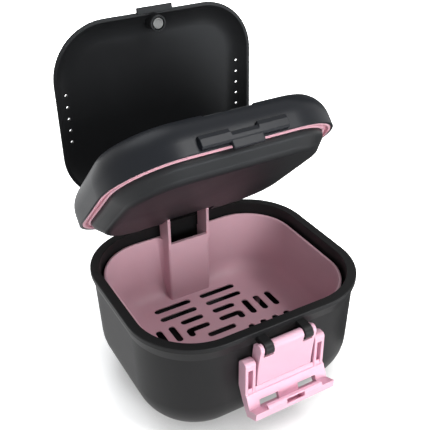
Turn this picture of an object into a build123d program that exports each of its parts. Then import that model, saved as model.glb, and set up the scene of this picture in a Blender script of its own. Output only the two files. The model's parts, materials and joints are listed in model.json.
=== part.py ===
"""Denture case: a tub with a strainer basket, a hinged lid with a retainer tray, a hinged cover and a clasp.

Frame: millimetres, X to the right, the clasp at -Y, Z up, origin at the centre of the tub's underside.
The lid, its tray and the cover are modelled shut, then swung open to their rest angles. Points in a
side view are (y, z) pairs.
"""

import os
from math import atan, cos, degrees, radians, sin, sqrt, tan

from build123d import *

os.makedirs("parts", exist_ok=True)

# Overall outline, shared by the tub's rim and the lid
case_width = 96.0
case_depth = 83.7
case_corner = 26.6
lid_gap = 0.34

# Tub
tub_height = 48.2
rim_wall = 3.8
rim_band = 4.0
band_overhang = 1.2
band_edge = 0.6
tub_draft = 1.4
tub_edge = 18.4
tub_floor = 2.4

# Strainer basket
basket_gap = 1.3
basket_shift = 0.36
basket_rim_drop = 4.5
basket_wall = 1.2
basket_draft = 1.5
basket_edge = 9.0
basket_floor_level = 13.6
basket_floor_wall = 1.3
foot_radius = 2.5
foot_set_in = 2.95
column_inset = 13.75
column_half = 9.9
column_wall = 1.4
column_corner = 1.2
column_blend = 3.0
prong_rise = 8.4
prong_round = 2.6
prong_back_gap = 1.55

# Drain slots: rows across the floor and columns along it, the same on both sides
slot_width = 2.0
slot_half_gap = 2.5
slot_rows = 4
long_slot_rows = 2
slot_columns = 4
back_row_gap = 3.5
centre_row_y = 0.2
centre_row_gap = 6.55
centre_slot_half = 6.7
first_column_x = 12.2
last_column_gap = 1.15
long_row_reach = 1.85
column_slot_start = 2.7
column_row_gap = 5.55
front_slot_start = 3.6

# Main hinge, behind the rim
hinge_reach = 3.68
hinge_rise = 0.68
hinge_knuckle = 2.6
hinge_pin = 1.2
pin_fit = 0.04
lid_knuckle_half = 8.6
tub_knuckle_length = 9.0
knuckle_gap = 0.3
tub_web_drop = 3.4
lid_web_rise = 4.2

# Lid
lid_height = 13.76
lid_skirt = 4.8
lid_crown = 11.03
lid_wall = 1.6
lid_lip = 1.1
lid_land = 1.5
land_inset = 6.8
flange_level = 3.16
flange_thick = 1.2
catch_half = 17.3
catch_step_half = 5.5
catch_low = 0.3
catch_step_height = 3.1
catch_height = 4.16
catch_reach = 2.0
catch_round = 0.8
tongue_half = 6.3
tongue_reach = 1.75
tongue_gap = 0.3
tongue_drop = 2.1
tongue_round = 0.5
notch_half = 10.5
notch_depth = 0.9

# Retainer tray
tray_inset = 7.2
tray_drop = 6.74
tray_rim_drop = 0.3
tray_wall = 1.5
tray_edge = 4.0
collar_inset = 4.7
collar_level = 1.8
collar_angle = 45.0
prong_clearance = 1.6
prong_swing_room = 2.9
prong_back_room = 0.6
prong_top_room = 1.1
chimney_wall = 1.2

# Lid gasket
gasket_fit = 0.05
gasket_lip = 1.1
gasket_web = 0.8
gasket_rim_gap = 0.3

# Cover
cover_gap = 0.3
cover_side_inset = 4.6
cover_front_inset = 5.05
cover_back_inset = 3.45
cover_corner = 22.4
cover_edge = 0.6
cover_rise = 4.7
cover_crown = 13.5
cover_rim = 1.4
cover_hollow = 3.8
hollow_crown = 12.0
tab_half = 7.5
tab_reach = 1.9
tab_drop = 0.6
tab_thick = 1.3
tab_root = 0.6
vent_count = 5
vent_pitch = 4.9
vent_inset = 5.0
vent_radius = 0.7
boss_from_front = 4.4
boss_radius = 3.3
boss_drop = 3.0
boss_room = 0.4
magnet_radius = 2.2
magnet_thick = 1.6
magnet_ring = 0.4
magnet_set_back = 0.1
ledge_half = 5.5
ledge_thick = 4.0
ledge_front = 4.8
ledge_back = 3.9
ledge_gap = 0.5
ledge_fit = 0.1
magnet_fit = 0.05

# Cover hinge, along the lid's back top edge
cover_hinge_inset = 5.15
cover_hinge_drop = 2.0
cover_knuckle = 1.6
cover_pin = 0.8
cover_knuckle_half = 11.7
cover_web_half = 0.9
recess_room = 0.3
recess_back_drop = 0.5
lug_length = 7.0
lug_drop = 3.1
lug_half = 1.8

# Clasp, hanging open from two hooks on the rim
clasp_reach = 3.65
clasp_drop = 4.7
clasp_swing = 184.5
clasp_bar = 1.45
clasp_bar_fit = 0.05
hook_wall = 1.15
hook_width = 3.5
hook_inner = 6.6
hook_side_gap = 0.3
clasp_knuckle = 2.0
plate_half = 11.9
plate_wall = 2.0
plate_notch = 3.3
plate_crease = 4.1
plate_lean = 0.5
plate_bow = 0.25
cheek_rise = 0.4
cheek_reach = 3.2
cheek_gap = 0.55
cheek_shoulder = 5.5
cheek_foot = 1.4
arm_slit = 0.9
arm_half = 17.1
arm_gap = 0.3
arm_thick = 4.95
arm_top_drop = 3.3
arm_round = 2.4
arm_heel_drop = 0.3
heel_back = 5.1
heel_rise = 0.6
toe_back = 1.8
toe_drop = 4.3
web_wall = 1.9
foot_back = 3.0
foot_drop = 3.2
lip_front = 1.5
lip_top_drop = 1.0
lip_slant = 0.3
lip_wall = 3.5
hook_bite = 1.2
hook_room = 0.44
crest_half = 11.8
crest_front = 0.75
crest_back = 0.3
crest_root = 1.4
crest_root_drop = 2.4
crest_slot_half = 3.9
crest_slot_drop = 1.3
crest_slot_height = 1.4
crest_slot_depth = 2.0
window_inner = 5.0
window_outer = 11.8
window_rise = 0.2
window_height = 2.4
core_slot_half = 0.9
core_slot_low = 2.2
core_slot_high = 8.1
core_slot_depth = 3.4

# Rest angles, from shut
lid_rest = 44.15
cover_rest = 46.94

# Worked out from the sizes above: tub
front_y = -case_depth / 2
back_y = case_depth / 2
band_bottom = tub_height - rim_band
draft_slope = tub_draft / band_bottom
tub_taper = degrees(atan(draft_slope))
cavity_edge = tub_edge - (rim_wall - band_overhang)
cavity_draft = (tub_height - tub_floor) * draft_slope
cavity_flat_inset = rim_wall + cavity_draft + cavity_edge
hinge_y = back_y + hinge_reach
hinge_z = tub_height + hinge_rise
tub_knuckle_start = lid_knuckle_half + knuckle_gap
tub_knuckle_end = tub_knuckle_start + tub_knuckle_length
pin_bore = hinge_pin + pin_fit

# Basket
basket_inset = rim_wall + basket_gap
basket_size = (case_width - 2 * basket_inset, case_depth - 2 * basket_inset)
basket_corner = case_corner - basket_inset
basket_rim = tub_height - basket_rim_drop
basket_under = basket_floor_level - basket_floor_wall
basket_taper = degrees(atan(basket_draft / (basket_rim - basket_floor_level)))
basket_back = back_y - basket_inset + basket_shift
foot_x = case_width / 2 - cavity_flat_inset - foot_set_in
foot_y = case_depth / 2 - cavity_flat_inset - foot_set_in
column_front = back_y - column_inset
channel_half = column_half - column_wall
drain_half = basket_size[0] / 2 - basket_wall - basket_draft - basket_edge
column_pitch = (drain_half - last_column_gap - first_column_x) / (slot_columns - 1)
first_row_y = column_front - back_row_gap
row_pitch = (first_row_y - centre_row_gap - centre_row_y) / (slot_rows - 1)
short_slot_end = first_column_x + slot_width / 2
long_slot_end = first_column_x + column_pitch + long_row_reach
column_slot_end = first_row_y - (long_slot_rows - 1) * row_pitch - column_row_gap
prong_back = back_y - rim_wall - prong_back_gap
prong_top = tub_height + prong_rise

# Lid and tray
lid_base = tub_height + lid_gap
lid_top = lid_base + lid_height
land_bottom = lid_top - lid_land
flange_top = lid_base + flange_level
flange_bottom = flange_top - flange_thick
tray_bottom = lid_base - tray_drop
tray_top = lid_top - tray_rim_drop
tray_back = back_y - tray_inset
collar_bottom = lid_base - collar_level
collar_rise = (tray_inset - collar_inset) / tan(radians(collar_angle))
notch_x = column_half + prong_clearance
notch_front = column_front - prong_swing_room
notch_back = prong_back + prong_back_room
notch_roof = prong_top + prong_top_room
gasket_outer = lid_lip + gasket_fit
gasket_inner = collar_inset - gasket_fit
gasket_bottom = tub_height + gasket_rim_gap

# Cover
cover_base = lid_top + cover_gap
cover_width = case_width - 2 * cover_side_inset
cover_depth = case_depth - cover_front_inset - cover_back_inset
cover_shift = (cover_front_inset - cover_back_inset) / 2
cover_front = front_y + cover_front_inset
tab_front = cover_front - tab_reach
tab_top = cover_base - tab_drop + tab_thick
boss_y = cover_front + boss_from_front
boss_end = cover_base - boss_drop
ledge_top = boss_end - ledge_gap
cover_hinge_y = back_y - cover_hinge_inset
cover_hinge_z = lid_top - cover_hinge_drop
recess_half = cover_knuckle_half + knuckle_gap
recess_radius = cover_knuckle + recess_room
lug_end = recess_half + lug_length
cover_bore = cover_pin + pin_fit

# Clasp
clasp_y = front_y - clasp_reach
clasp_z = tub_height - clasp_drop
hook_bore = clasp_bar + clasp_bar_fit
hook_radius = hook_bore + hook_wall
hook_outer = hook_inner + hook_width
plate_middle = hook_inner - hook_side_gap
cheek_inner = hook_outer + hook_side_gap
arm_inner = plate_half + arm_slit
arm_back = front_y + band_overhang - arm_gap
arm_front = arm_back - arm_thick
arm_middle = (arm_inner + arm_half) / 2

sides = (-1, 1)


def tub_shape(size, corner, top, bottom, taper, edge, shift=0.0):
    """Solid tub: a rounded rectangle at the top, drafted inward, with a rounded bottom edge."""
    with BuildPart() as shape:
        with BuildSketch(Plane.XY.offset(top)):
            with Locations((0, shift)):
                RectangleRounded(size[0], size[1], corner)
        extrude(amount=bottom - top, taper=taper)
        fillet(shape.faces().sort_by(Axis.Z)[0].edges(), edge)
    return shape.part


def plate_shape(inset, bottom, top):
    """Flat plate with the case's outline, set in from it."""
    with BuildPart() as shape:
        with BuildSketch(Plane.XY.offset(bottom)):
            RectangleRounded(case_width - 2 * inset, case_depth - 2 * inset, case_corner - inset)
        extrude(amount=top - bottom)
    return shape.part


def dome_shape(inset, top):
    """Lid dome: an upright skirt, then a crown that curves in, cut flat at the given level."""
    with BuildPart() as shape:
        with BuildSketch(Plane.XY.offset(lid_base)):
            RectangleRounded(case_width - 2 * inset, case_depth - 2 * inset, case_corner - inset)
        extrude(amount=lid_skirt + lid_crown - inset)
        fillet(shape.faces().sort_by(Axis.Z)[-1].edges(), lid_crown - inset)
        split(bisect_by=Plane.XY.offset(top), keep=Keep.BOTTOM)
    return shape.part


def crowned_shape(inset, level, rise, crown):
    """Shallow cushion with the cover's outline at its level, rising on an arc of the crown radius."""
    grow = crown - sqrt(crown**2 - (crown - rise) ** 2) - inset
    with BuildPart() as shape:
        with BuildSketch(Plane.XY.offset(level + rise - 2 * crown)):
            with Locations((0, cover_shift)):
                RectangleRounded(cover_width + 2 * grow, cover_depth + 2 * grow, cover_corner + grow)
        extrude(amount=2 * crown)
        fillet(shape.faces().sort_by(Axis.Z)[-1].edges(), crown)
        split(bisect_by=Plane.XY.offset(level), keep=Keep.TOP)
    return shape.part


def slab(x, y, z, mode=Mode.ADD):
    """Box given by its low and high ends along each axis."""
    with Locations(((x[0] + x[1]) / 2, (y[0] + y[1]) / 2, (z[0] + z[1]) / 2)):
        Box(x[1] - x[0], y[1] - y[0], z[1] - z[0], mode=mode)


def rod(centre, radius, x, mode=Mode.ADD):
    """Cylinder along X between two ends, centred on a side-view point."""
    with Locations(Location(((x[0] + x[1]) / 2, centre[0], centre[1]), (0, 90, 0))):
        Cylinder(radius, x[1] - x[0], mode=mode)


def post(centre, radius, z, mode=Mode.ADD):
    """Upright cylinder between two levels, centred on a plan point."""
    with Locations((centre[0], centre[1], (z[0] + z[1]) / 2)):
        Cylinder(radius, z[1] - z[0], mode=mode)


def side_profile(points, x, rounding=0.0, mode=Mode.ADD):
    """Closed outline of side-view points, its corners rounded, extruded along X between two ends."""
    with BuildSketch(Plane.YZ.offset(x[0])) as profile:
        with BuildLine():
            Polyline(points, close=True)
        make_face()
        if rounding > 0:
            fillet(profile.vertices(), rounding)
    extrude(profile.sketch, amount=x[1] - x[0], mode=mode)


def side_rectangle(y, z):
    """Corners of an upright rectangle in the side view."""
    return [(y[0], z[0]), (y[1], z[0]), (y[1], z[1]), (y[0], z[1])]


def hooked_arm(root_y, root_z, x):
    """Clasp hook: a disc round the clasp's line, drawn out to a root on the rim band, extruded along X."""
    with BuildSketch(Plane.YZ.offset(x[0])) as profile:
        with Locations((clasp_y, clasp_z)):
            Circle(hook_radius)
        with Locations(((root_y[0] + root_y[1]) / 2, (root_z[0] + root_z[1]) / 2)):
            Rectangle(root_y[1] - root_y[0], root_z[1] - root_z[0])
        make_hull()
    extrude(profile.sketch, amount=x[1] - x[0])


def span(side, low, high):
    """Ends along X of a stretch on one side of the middle, in rising order."""
    return (low, high) if side > 0 else (-high, -low)


def swing(point, centre, angle):
    """Side-view point swung about a centre, the way that the lid opens."""
    turn = radians(angle)
    y = point[0] - centre[0]
    z = point[1] - centre[1]
    return (centre[0] + y * cos(turn) + z * sin(turn), centre[1] - y * sin(turn) + z * cos(turn))


def opened(piece, centre, angle):
    """Piece swung open about a hinge line along X."""
    return piece.rotate(Axis((0, centre[0], centre[1]), (-1, 0, 0)), angle)


def export(piece, name):
    """Label a finished piece and write it as a STEP file."""
    piece.part.label = name
    export_step(piece.part, f"parts/{name}.step")


hinge_point = (hinge_y, hinge_z)
cover_hinge_point = (cover_hinge_y, cover_hinge_z)
clasp_point = (clasp_y, clasp_z)

# Tub: drafted bowl under a rim band, with the clasp's hooks in front and the hinge knuckles behind
body_size = (case_width - 2 * band_overhang, case_depth - 2 * band_overhang)
cavity_size = (case_width - 2 * rim_wall, case_depth - 2 * rim_wall)
with BuildPart() as base_shell:
    with BuildSketch(Plane.XY.offset(band_bottom)):
        RectangleRounded(case_width, case_depth, case_corner)
    extrude(amount=rim_band)
    fillet(base_shell.faces().sort_by(Axis.Z)[0].edges(), band_edge)
    fillet(base_shell.faces().sort_by(Axis.Z)[-1].edges(), band_edge)
    add(tub_shape(body_size, case_corner - band_overhang, band_bottom, 0, tub_taper, tub_edge))
    for side in sides:
        hook_x = span(side, hook_inner, hook_outer)
        hook_top = clasp_z + hook_radius
        hooked_arm((front_y, front_y + rim_wall / 2), (band_bottom + band_edge, hook_top), hook_x)
        slab(hook_x, (clasp_y, arm_back), (clasp_z - hook_radius, clasp_z), mode=Mode.SUBTRACT)
        rod(clasp_point, hook_bore, hook_x, mode=Mode.SUBTRACT)
        knuckle_x = span(side, tub_knuckle_start, tub_knuckle_end)
        web_top = tub_height - band_edge
        web_root = back_y - rim_wall / 2
        rod(hinge_point, hinge_knuckle, knuckle_x)
        side_profile(
            [
                (web_root, tub_height - tub_web_drop),
                (hinge_y, hinge_z - hinge_knuckle),
                (hinge_y, web_top),
                (web_root, web_top),
            ],
            knuckle_x,
        )
        rod(hinge_point, pin_bore, knuckle_x, mode=Mode.SUBTRACT)
    cavity_corner = case_corner - rim_wall
    cavity = tub_shape(cavity_size, cavity_corner, tub_height, tub_floor, tub_taper, cavity_edge)
    add(cavity, mode=Mode.SUBTRACT)

# Hinge pin through the tub's and the lid's knuckles
with BuildPart() as main_hinge_pin:
    rod(hinge_point, hinge_pin, (-tub_knuckle_end, tub_knuckle_end))

# Strainer basket: bowl, handle column with its two prongs, drain slots and feet
outer_edge = basket_edge + basket_wall
basket_outer = tub_shape(
    basket_size, basket_corner, basket_rim, basket_under, basket_taper, outer_edge, basket_shift
)
basket_inner = tub_shape(
    (basket_size[0] - 2 * basket_wall, basket_size[1] - 2 * basket_wall),
    basket_corner - basket_wall,
    basket_rim,
    basket_floor_level,
    basket_taper,
    basket_edge,
    basket_shift,
)
wall_line = basket_back - basket_wall
with BuildPart() as basket_column:
    with BuildSketch(Plane.XY.offset(basket_under)) as column_plan:
        with Locations((0, (column_front + basket_back) / 2)):
            RectangleRounded(2 * column_half, basket_back - column_front, column_corner)
        with Locations((0, basket_back - column_blend)):
            Rectangle(2 * (column_half + column_blend), 2 * column_blend)
        for side in sides:
            with Locations((side * (column_half + column_blend), wall_line - column_blend)):
                Circle(column_blend, mode=Mode.SUBTRACT)
            with Locations((side * (column_half + column_blend / 2), wall_line - 2 * column_blend)):
                Rectangle(column_blend, 2 * column_blend, mode=Mode.SUBTRACT)
    extrude(amount=basket_rim - basket_under)
    add(basket_outer, mode=Mode.INTERSECT)

with BuildPart() as strainer_basket:
    add(basket_outer)
    add(basket_inner, mode=Mode.SUBTRACT)
    add(basket_column.part)
    channel_low = basket_floor_level + basket_floor_wall
    channel_y = (column_front + column_wall, back_y)
    slab((-channel_half, channel_half), channel_y, (channel_low, tub_height), mode=Mode.SUBTRACT)
    for side in sides:
        prong_x = span(side, channel_half, column_half)
        with BuildSketch(Plane.YZ.offset(prong_x[0])) as prong_profile:
            with Locations(((column_front + prong_back) / 2, (prong_top + basket_rim - prong_round) / 2)):
                Rectangle(prong_back - column_front, prong_top - basket_rim + prong_round)
            fillet(prong_profile.vertices().sort_by(Axis.Y)[-2:], prong_round)
        extrude(amount=column_wall)
    with BuildSketch(Plane.XY.offset(basket_under)):
        for side in sides:
            for row in range(slot_rows):
                row_y = first_row_y - row * row_pitch
                row_end = long_slot_end if row < long_slot_rows else short_slot_end
                with Locations((side * (slot_half_gap + row_end) / 2, row_y)):
                    SlotOverall(row_end - slot_half_gap, slot_width)
            for column in range(slot_columns):
                column_x = side * (first_column_x + column * column_pitch)
                front_middle = -(front_slot_start + column_slot_end) / 2
                with Locations((column_x, front_middle)):
                    SlotOverall(column_slot_end - front_slot_start, slot_width, rotation=90)
                back_end = row_y + slot_width / 2 if column == 0 else column_slot_end
                with Locations((column_x, (column_slot_start + back_end) / 2)):
                    SlotOverall(back_end - column_slot_start, slot_width, rotation=90)
        with Locations((0, centre_row_y)):
            SlotOverall(2 * centre_slot_half, slot_width)
    extrude(amount=basket_floor_wall, mode=Mode.SUBTRACT)
    for side in sides:
        for end in sides:
            post((side * foot_x, end * foot_y), foot_radius, (tub_floor, basket_under))

# Lid shell: domed ring with a land round its opening, the catch, its tongue and the hinge knuckles
with BuildPart() as hinge_block:
    slab(
        (-lug_end, lug_end),
        (cover_hinge_y - lug_half, back_y),
        (cover_hinge_z - lug_drop, land_bottom),
    )
    add(dome_shape(0, lid_top), mode=Mode.INTERSECT)

catch_front = front_y - catch_reach
catch_root = front_y + lid_lip / 2
catch_z = (lid_base + catch_low, lid_base + catch_height)
tongue_y = (front_y - tongue_reach, front_y - tongue_gap)
with BuildPart() as lid_shell:
    add(dome_shape(0, lid_top))
    add(dome_shape(lid_wall, land_bottom), mode=Mode.SUBTRACT)
    add(hinge_block.part)
    add(plate_shape(lid_lip, lid_base, flange_top), mode=Mode.SUBTRACT)
    add(plate_shape(land_inset, land_bottom, lid_top), mode=Mode.SUBTRACT)
    # Finger notch under the cover's tab and pocket for the cover's boss
    notch_y = (front_y, cover_front + 2 * tab_root)
    slab((-notch_half, notch_half), notch_y, (lid_top - notch_depth, lid_top), mode=Mode.SUBTRACT)
    post((0, boss_y), boss_radius + boss_room, (ledge_top, lid_top), mode=Mode.SUBTRACT)
    # Recess and bore for the cover's hinge
    recess_x = (-recess_half, recess_half)
    recess_y = (cover_hinge_y - recess_radius, cover_hinge_y + recess_radius)
    rod(cover_hinge_point, recess_radius, recess_x, mode=Mode.SUBTRACT)
    slab(recess_x, recess_y, (cover_hinge_z, lid_top), mode=Mode.SUBTRACT)
    slab(recess_x, (cover_hinge_y, back_y), (cover_hinge_z - recess_back_drop, lid_top), mode=Mode.SUBTRACT)
    rod(cover_hinge_point, cover_bore, (-lug_end, lug_end), mode=Mode.SUBTRACT)
    # Catch bar with a lower middle, and the tongue that overlaps the tub's band
    side_profile(
        side_rectangle((catch_front, catch_root), catch_z),
        (-catch_half, catch_half),
    )
    fillet(lid_shell.faces().sort_by(Axis.Y)[0].edges(), catch_round)
    step_z = (lid_base + catch_step_height, catch_z[1])
    slab((-catch_step_half, catch_step_half), (catch_front, front_y), step_z, mode=Mode.SUBTRACT)
    tongue_z = (lid_base - tongue_drop, catch_z[0] + 2 * tongue_round)
    side_profile(
        side_rectangle(tongue_y, tongue_z),
        (-tongue_half, tongue_half),
        tongue_round,
    )
    # Middle hinge knuckle
    rod(hinge_point, hinge_knuckle, (-lid_knuckle_half, lid_knuckle_half))
    web_root = back_y - lid_lip / 2
    side_profile(
        [
            (web_root, lid_base),
            (hinge_y, lid_base),
            (hinge_y, hinge_z + hinge_knuckle),
            (web_root, lid_base + lid_web_rise),
        ],
        (-lid_knuckle_half, lid_knuckle_half),
    )
    rod(hinge_point, pin_bore, (-lid_knuckle_half, lid_knuckle_half), mode=Mode.SUBTRACT)

# Retainer tray: well that hangs through the lid, with a chimney over the basket's prongs
tray_size = (case_width - 2 * tray_inset, case_depth - 2 * tray_inset)
well_size = (tray_size[0] - 2 * tray_wall, tray_size[1] - 2 * tray_wall)
tray_corner = case_corner - tray_inset
tray_floor = tray_bottom + tray_wall
tray_outer = tub_shape(tray_size, tray_corner, tray_top, tray_bottom, 0, tray_edge)
chimney_x = (-notch_x - chimney_wall, notch_x + chimney_wall)
with BuildPart() as chimney:
    slab(chimney_x, (notch_front - chimney_wall, tray_back), (tray_bottom, notch_roof + chimney_wall))
    add(tray_outer, mode=Mode.INTERSECT)

with BuildPart() as ledge:
    ledge_y = (boss_y - ledge_front, boss_y + ledge_back)
    slab((-ledge_half, ledge_half), ledge_y, (ledge_top - ledge_thick, land_bottom))
    add(dome_shape(lid_wall + ledge_fit, land_bottom), mode=Mode.INTERSECT)

with BuildPart() as retainer_tray:
    add(tray_outer)
    with BuildSketch(Plane.XY.offset(collar_bottom)):
        collar_corner = case_corner - collar_inset
        RectangleRounded(case_width - 2 * collar_inset, case_depth - 2 * collar_inset, collar_corner)
    extrude(amount=flange_bottom - collar_bottom)
    with BuildSketch(Plane.XY.offset(collar_bottom)):
        RectangleRounded(case_width - 2 * collar_inset, case_depth - 2 * collar_inset, collar_corner)
    extrude(amount=-collar_rise, taper=collar_angle)
    add(plate_shape(gasket_outer, flange_bottom, flange_top))
    well_corner = tray_corner - tray_wall
    add(tub_shape(well_size, well_corner, tray_top, tray_floor, 0, tray_edge - tray_wall), mode=Mode.SUBTRACT)
    add(chimney.part)
    notch_ends = (-notch_x, notch_x)
    slab(notch_ends, (notch_front, back_y), (tray_bottom, flange_bottom), mode=Mode.SUBTRACT)
    slab(notch_ends, (notch_front, notch_back), (flange_bottom, notch_roof), mode=Mode.SUBTRACT)
    add(ledge.part)
    post((0, boss_y), boss_radius + boss_room, (ledge_top, tray_top), mode=Mode.SUBTRACT)
    magnet_pocket = magnet_thick + magnet_set_back
    pocket_z = (ledge_top - magnet_pocket, ledge_top)
    post((0, boss_y), magnet_radius + magnet_fit, pocket_z, mode=Mode.SUBTRACT)

with BuildPart() as catch_magnet:
    post((0, boss_y), magnet_radius, (pocket_z[0], pocket_z[0] + magnet_thick))

# Lid gasket: U-shaped ring under the tray's flange, open downward
recess_outer = gasket_outer + gasket_lip
recess_inner = gasket_inner - gasket_lip
recess_top = flange_bottom - gasket_web
with BuildPart() as gasket_groove:
    add(plate_shape(recess_outer, gasket_bottom, recess_top))
    add(plate_shape(recess_inner, gasket_bottom, recess_top), mode=Mode.SUBTRACT)

with BuildPart() as lid_gasket:
    add(plate_shape(gasket_outer, gasket_bottom, flange_bottom))
    add(plate_shape(gasket_inner, gasket_bottom, flange_bottom), mode=Mode.SUBTRACT)
    add(gasket_groove.part, mode=Mode.SUBTRACT)

# Cover: crowned lid of the retainer tray, with its boss, magnet, vents, tab and hinge knuckle
with BuildPart() as cover_inside:
    add(crowned_shape(cover_rim, cover_base, cover_hollow, hollow_crown))
    post((0, boss_y), boss_radius, (cover_base, cover_base + cover_edge + cover_rise), mode=Mode.SUBTRACT)

with BuildPart() as top_cover:
    with BuildSketch(Plane.XY.offset(cover_base)):
        with Locations((0, cover_shift)):
            RectangleRounded(cover_width, cover_depth, cover_corner)
    extrude(amount=cover_edge)
    add(crowned_shape(0, cover_base + cover_edge, cover_rise, cover_crown))
    add(cover_inside.part, mode=Mode.SUBTRACT)
    post((0, boss_y), boss_radius, (boss_end, cover_base + cover_edge))
    magnet_z = (boss_end + magnet_set_back, boss_end + magnet_set_back + magnet_thick)
    post((0, boss_y), magnet_radius + magnet_ring, (boss_end, magnet_z[1]), mode=Mode.SUBTRACT)
    slab((-tab_half, tab_half), (tab_front, cover_front + tab_root), (tab_top - tab_thick, tab_top))
    with Locations((0, cover_shift, cover_base + cover_rise / 2)):
        with GridLocations(cover_width - 2 * vent_inset, vent_pitch, 2, vent_count):
            Cylinder(vent_radius, 2 * cover_rise, mode=Mode.SUBTRACT)
    cover_knuckle_x = (-cover_knuckle_half, cover_knuckle_half)
    rod(cover_hinge_point, cover_knuckle, cover_knuckle_x)
    cover_web_y = (cover_hinge_y - cover_web_half, cover_hinge_y + cover_web_half)
    slab(cover_knuckle_x, cover_web_y, (cover_hinge_z, cover_base + cover_edge))
    rod(cover_hinge_point, cover_bore, cover_knuckle_x, mode=Mode.SUBTRACT)

with BuildPart() as cover_magnet:
    post((0, boss_y), magnet_radius, magnet_z)

with BuildPart() as cover_hinge_pin:
    rod(cover_hinge_point, cover_pin, (-lug_end, lug_end))

# Clasp: plate on a bar, two arms, and a tilted lip whose crest hooks over the cover's tab when shut
crest = swing((tab_front + hook_bite, tab_top + hook_room), clasp_point, -clasp_swing)
foot = (crest[0] + foot_back, crest[1] - foot_drop)
crease = (clasp_y + plate_lean, crest[1] + plate_crease)
web_length = sqrt((crease[0] - foot[0]) ** 2 + (crease[1] - foot[1]) ** 2)
along = ((crease[0] - foot[0]) / web_length, (crease[1] - foot[1]) / web_length)


def from_foot(up, back):
    """Side-view point measured from the web's foot: up along the web and back through it."""
    return (foot[0] + up * along[0] + back * along[1], foot[1] + up * along[1] - back * along[0])


def from_point(point, y, z):
    """Side-view point at an offset from another."""
    return (point[0] + y, point[1] + z)


def bowed_profile(back_points, x):
    """Side view with the plate's bowed front, closed behind by the given points, extruded along X."""
    top = (clasp_y - clasp_knuckle, clasp_z)
    middle = ((top[0] + crease[0]) / 2 + plate_bow, (top[1] + crease[1]) / 2)
    with BuildSketch(Plane.YZ.offset(x[0])) as profile:
        with BuildLine():
            ThreePointArc(top, middle, crease)
            Polyline([crease] + back_points + [top])
        make_face()
    extrude(profile.sketch, amount=x[1] - x[0])


web_back = from_foot(web_length, web_wall)
arm_top = clasp_z - arm_top_drop
notch_bottom = clasp_z - plate_notch
front_slope = (foot[1] - crease[1]) / (foot[0] - crease[0])
arm_front_low = crease[1] + (arm_front - crease[0]) * front_slope
lip_top = from_point(crest, -lip_front, -lip_top_drop)
lip_low = from_point(lip_top, lip_slant, -lip_wall)
with BuildPart() as clasp:
    bowed_profile(
        [web_back, from_point(crease, plate_wall, plate_crease / 2), (clasp_y, clasp_z)],
        (-plate_half, plate_half),
    )
    rod(clasp_point, clasp_knuckle, (-plate_half, plate_half))
    for side in sides:
        bowed_profile(
            [
                web_back,
                from_point(crease, cheek_foot, cheek_foot / 2),
                (arm_back - cheek_gap, clasp_z - cheek_shoulder),
                from_point(clasp_point, cheek_reach, cheek_rise),
                from_point(clasp_point, 0, clasp_knuckle),
            ],
            span(side, cheek_inner, plate_half),
        )
        hook_gap = span(side, plate_middle, cheek_inner)
        hook_reach = (clasp_y - hook_radius, clasp_y + hook_radius)
        slab(hook_gap, hook_reach, (notch_bottom, clasp_z + hook_radius), mode=Mode.SUBTRACT)
    rod(clasp_point, clasp_bar, (-plate_half, plate_half))
    side_profile([crease, foot, from_foot(0, web_wall), web_back], (-arm_half, arm_half))
    lip_points = [foot, from_foot(0, web_wall), from_point(foot, toe_back, -toe_drop), lip_low, lip_top]
    side_profile(lip_points, (-arm_half, arm_half))
    side_profile(
        [
            lip_top,
            from_point(crest, -crest_front, 0),
            from_point(crest, crest_back, 0),
            from_point(crest, crest_root, -crest_root_drop),
            lip_low,
        ],
        (-crest_half, crest_half),
    )
    slot_y = (lip_top[0], lip_top[0] + crest_slot_depth)
    slot_z = (crest[1] - crest_slot_drop - crest_slot_height, crest[1] - crest_slot_drop)
    slab((-crest_slot_half, crest_slot_half), slot_y, slot_z, mode=Mode.SUBTRACT)
    for side in sides:
        arm_x = span(side, arm_inner, arm_half)
        with BuildSketch(Plane.YZ.offset(arm_x[0])) as arm_profile:
            with BuildLine():
                Polyline(
                    [
                        (arm_front, arm_top),
                        (arm_back, arm_top),
                        (arm_back, crease[1] - arm_heel_drop),
                        from_point(foot, heel_back, heel_rise),
                        from_point(foot, toe_back, -toe_drop),
                        foot,
                        (arm_front, arm_front_low),
                    ],
                    close=True,
                )
            make_face()
            fillet(arm_profile.vertices().sort_by(Axis.Y)[-2:], arm_round)
        extrude(amount=arm_x[1] - arm_x[0])
        core_low = crease[1] - core_slot_low
        core_high = clasp_z - core_slot_high
        side_profile(
            [
                (arm_front - core_slot_half, core_low),
                (arm_front - core_slot_half, core_high),
                (arm_front + core_slot_depth, core_high),
                (arm_front + core_slot_depth, core_low + core_slot_depth),
            ],
            (side * arm_middle - core_slot_half, side * arm_middle + core_slot_half),
            mode=Mode.SUBTRACT,
        )
        window_top = window_rise + window_height
        side_profile(
            [
                from_foot(window_rise, -core_slot_half),
                from_foot(window_top, -core_slot_half),
                from_foot(window_top, 2 * web_wall),
                from_foot(window_rise, 2 * web_wall),
            ],
            span(side, window_inner, window_outer),
            mode=Mode.SUBTRACT,
        )

# Swing the lid and the cover open to their rest angles
for lid_piece in (lid_shell, retainer_tray, lid_gasket, catch_magnet, cover_hinge_pin):
    lid_piece.part = opened(lid_piece.part, hinge_point, lid_rest)
for cover_piece in (top_cover, cover_magnet):
    cover_piece.part = opened(opened(cover_piece.part, cover_hinge_point, cover_rest), hinge_point, lid_rest)

export(base_shell, "base_shell")
export(main_hinge_pin, "main_hinge_pin")
export(strainer_basket, "strainer_basket")
export(lid_shell, "lid_shell")
export(retainer_tray, "retainer_tray")
export(lid_gasket, "lid_gasket")
export(catch_magnet, "catch_magnet")
export(cover_hinge_pin, "cover_hinge_pin")
export(top_cover, "top_cover")
export(cover_magnet, "cover_magnet")
export(clasp, "clasp")
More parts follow.
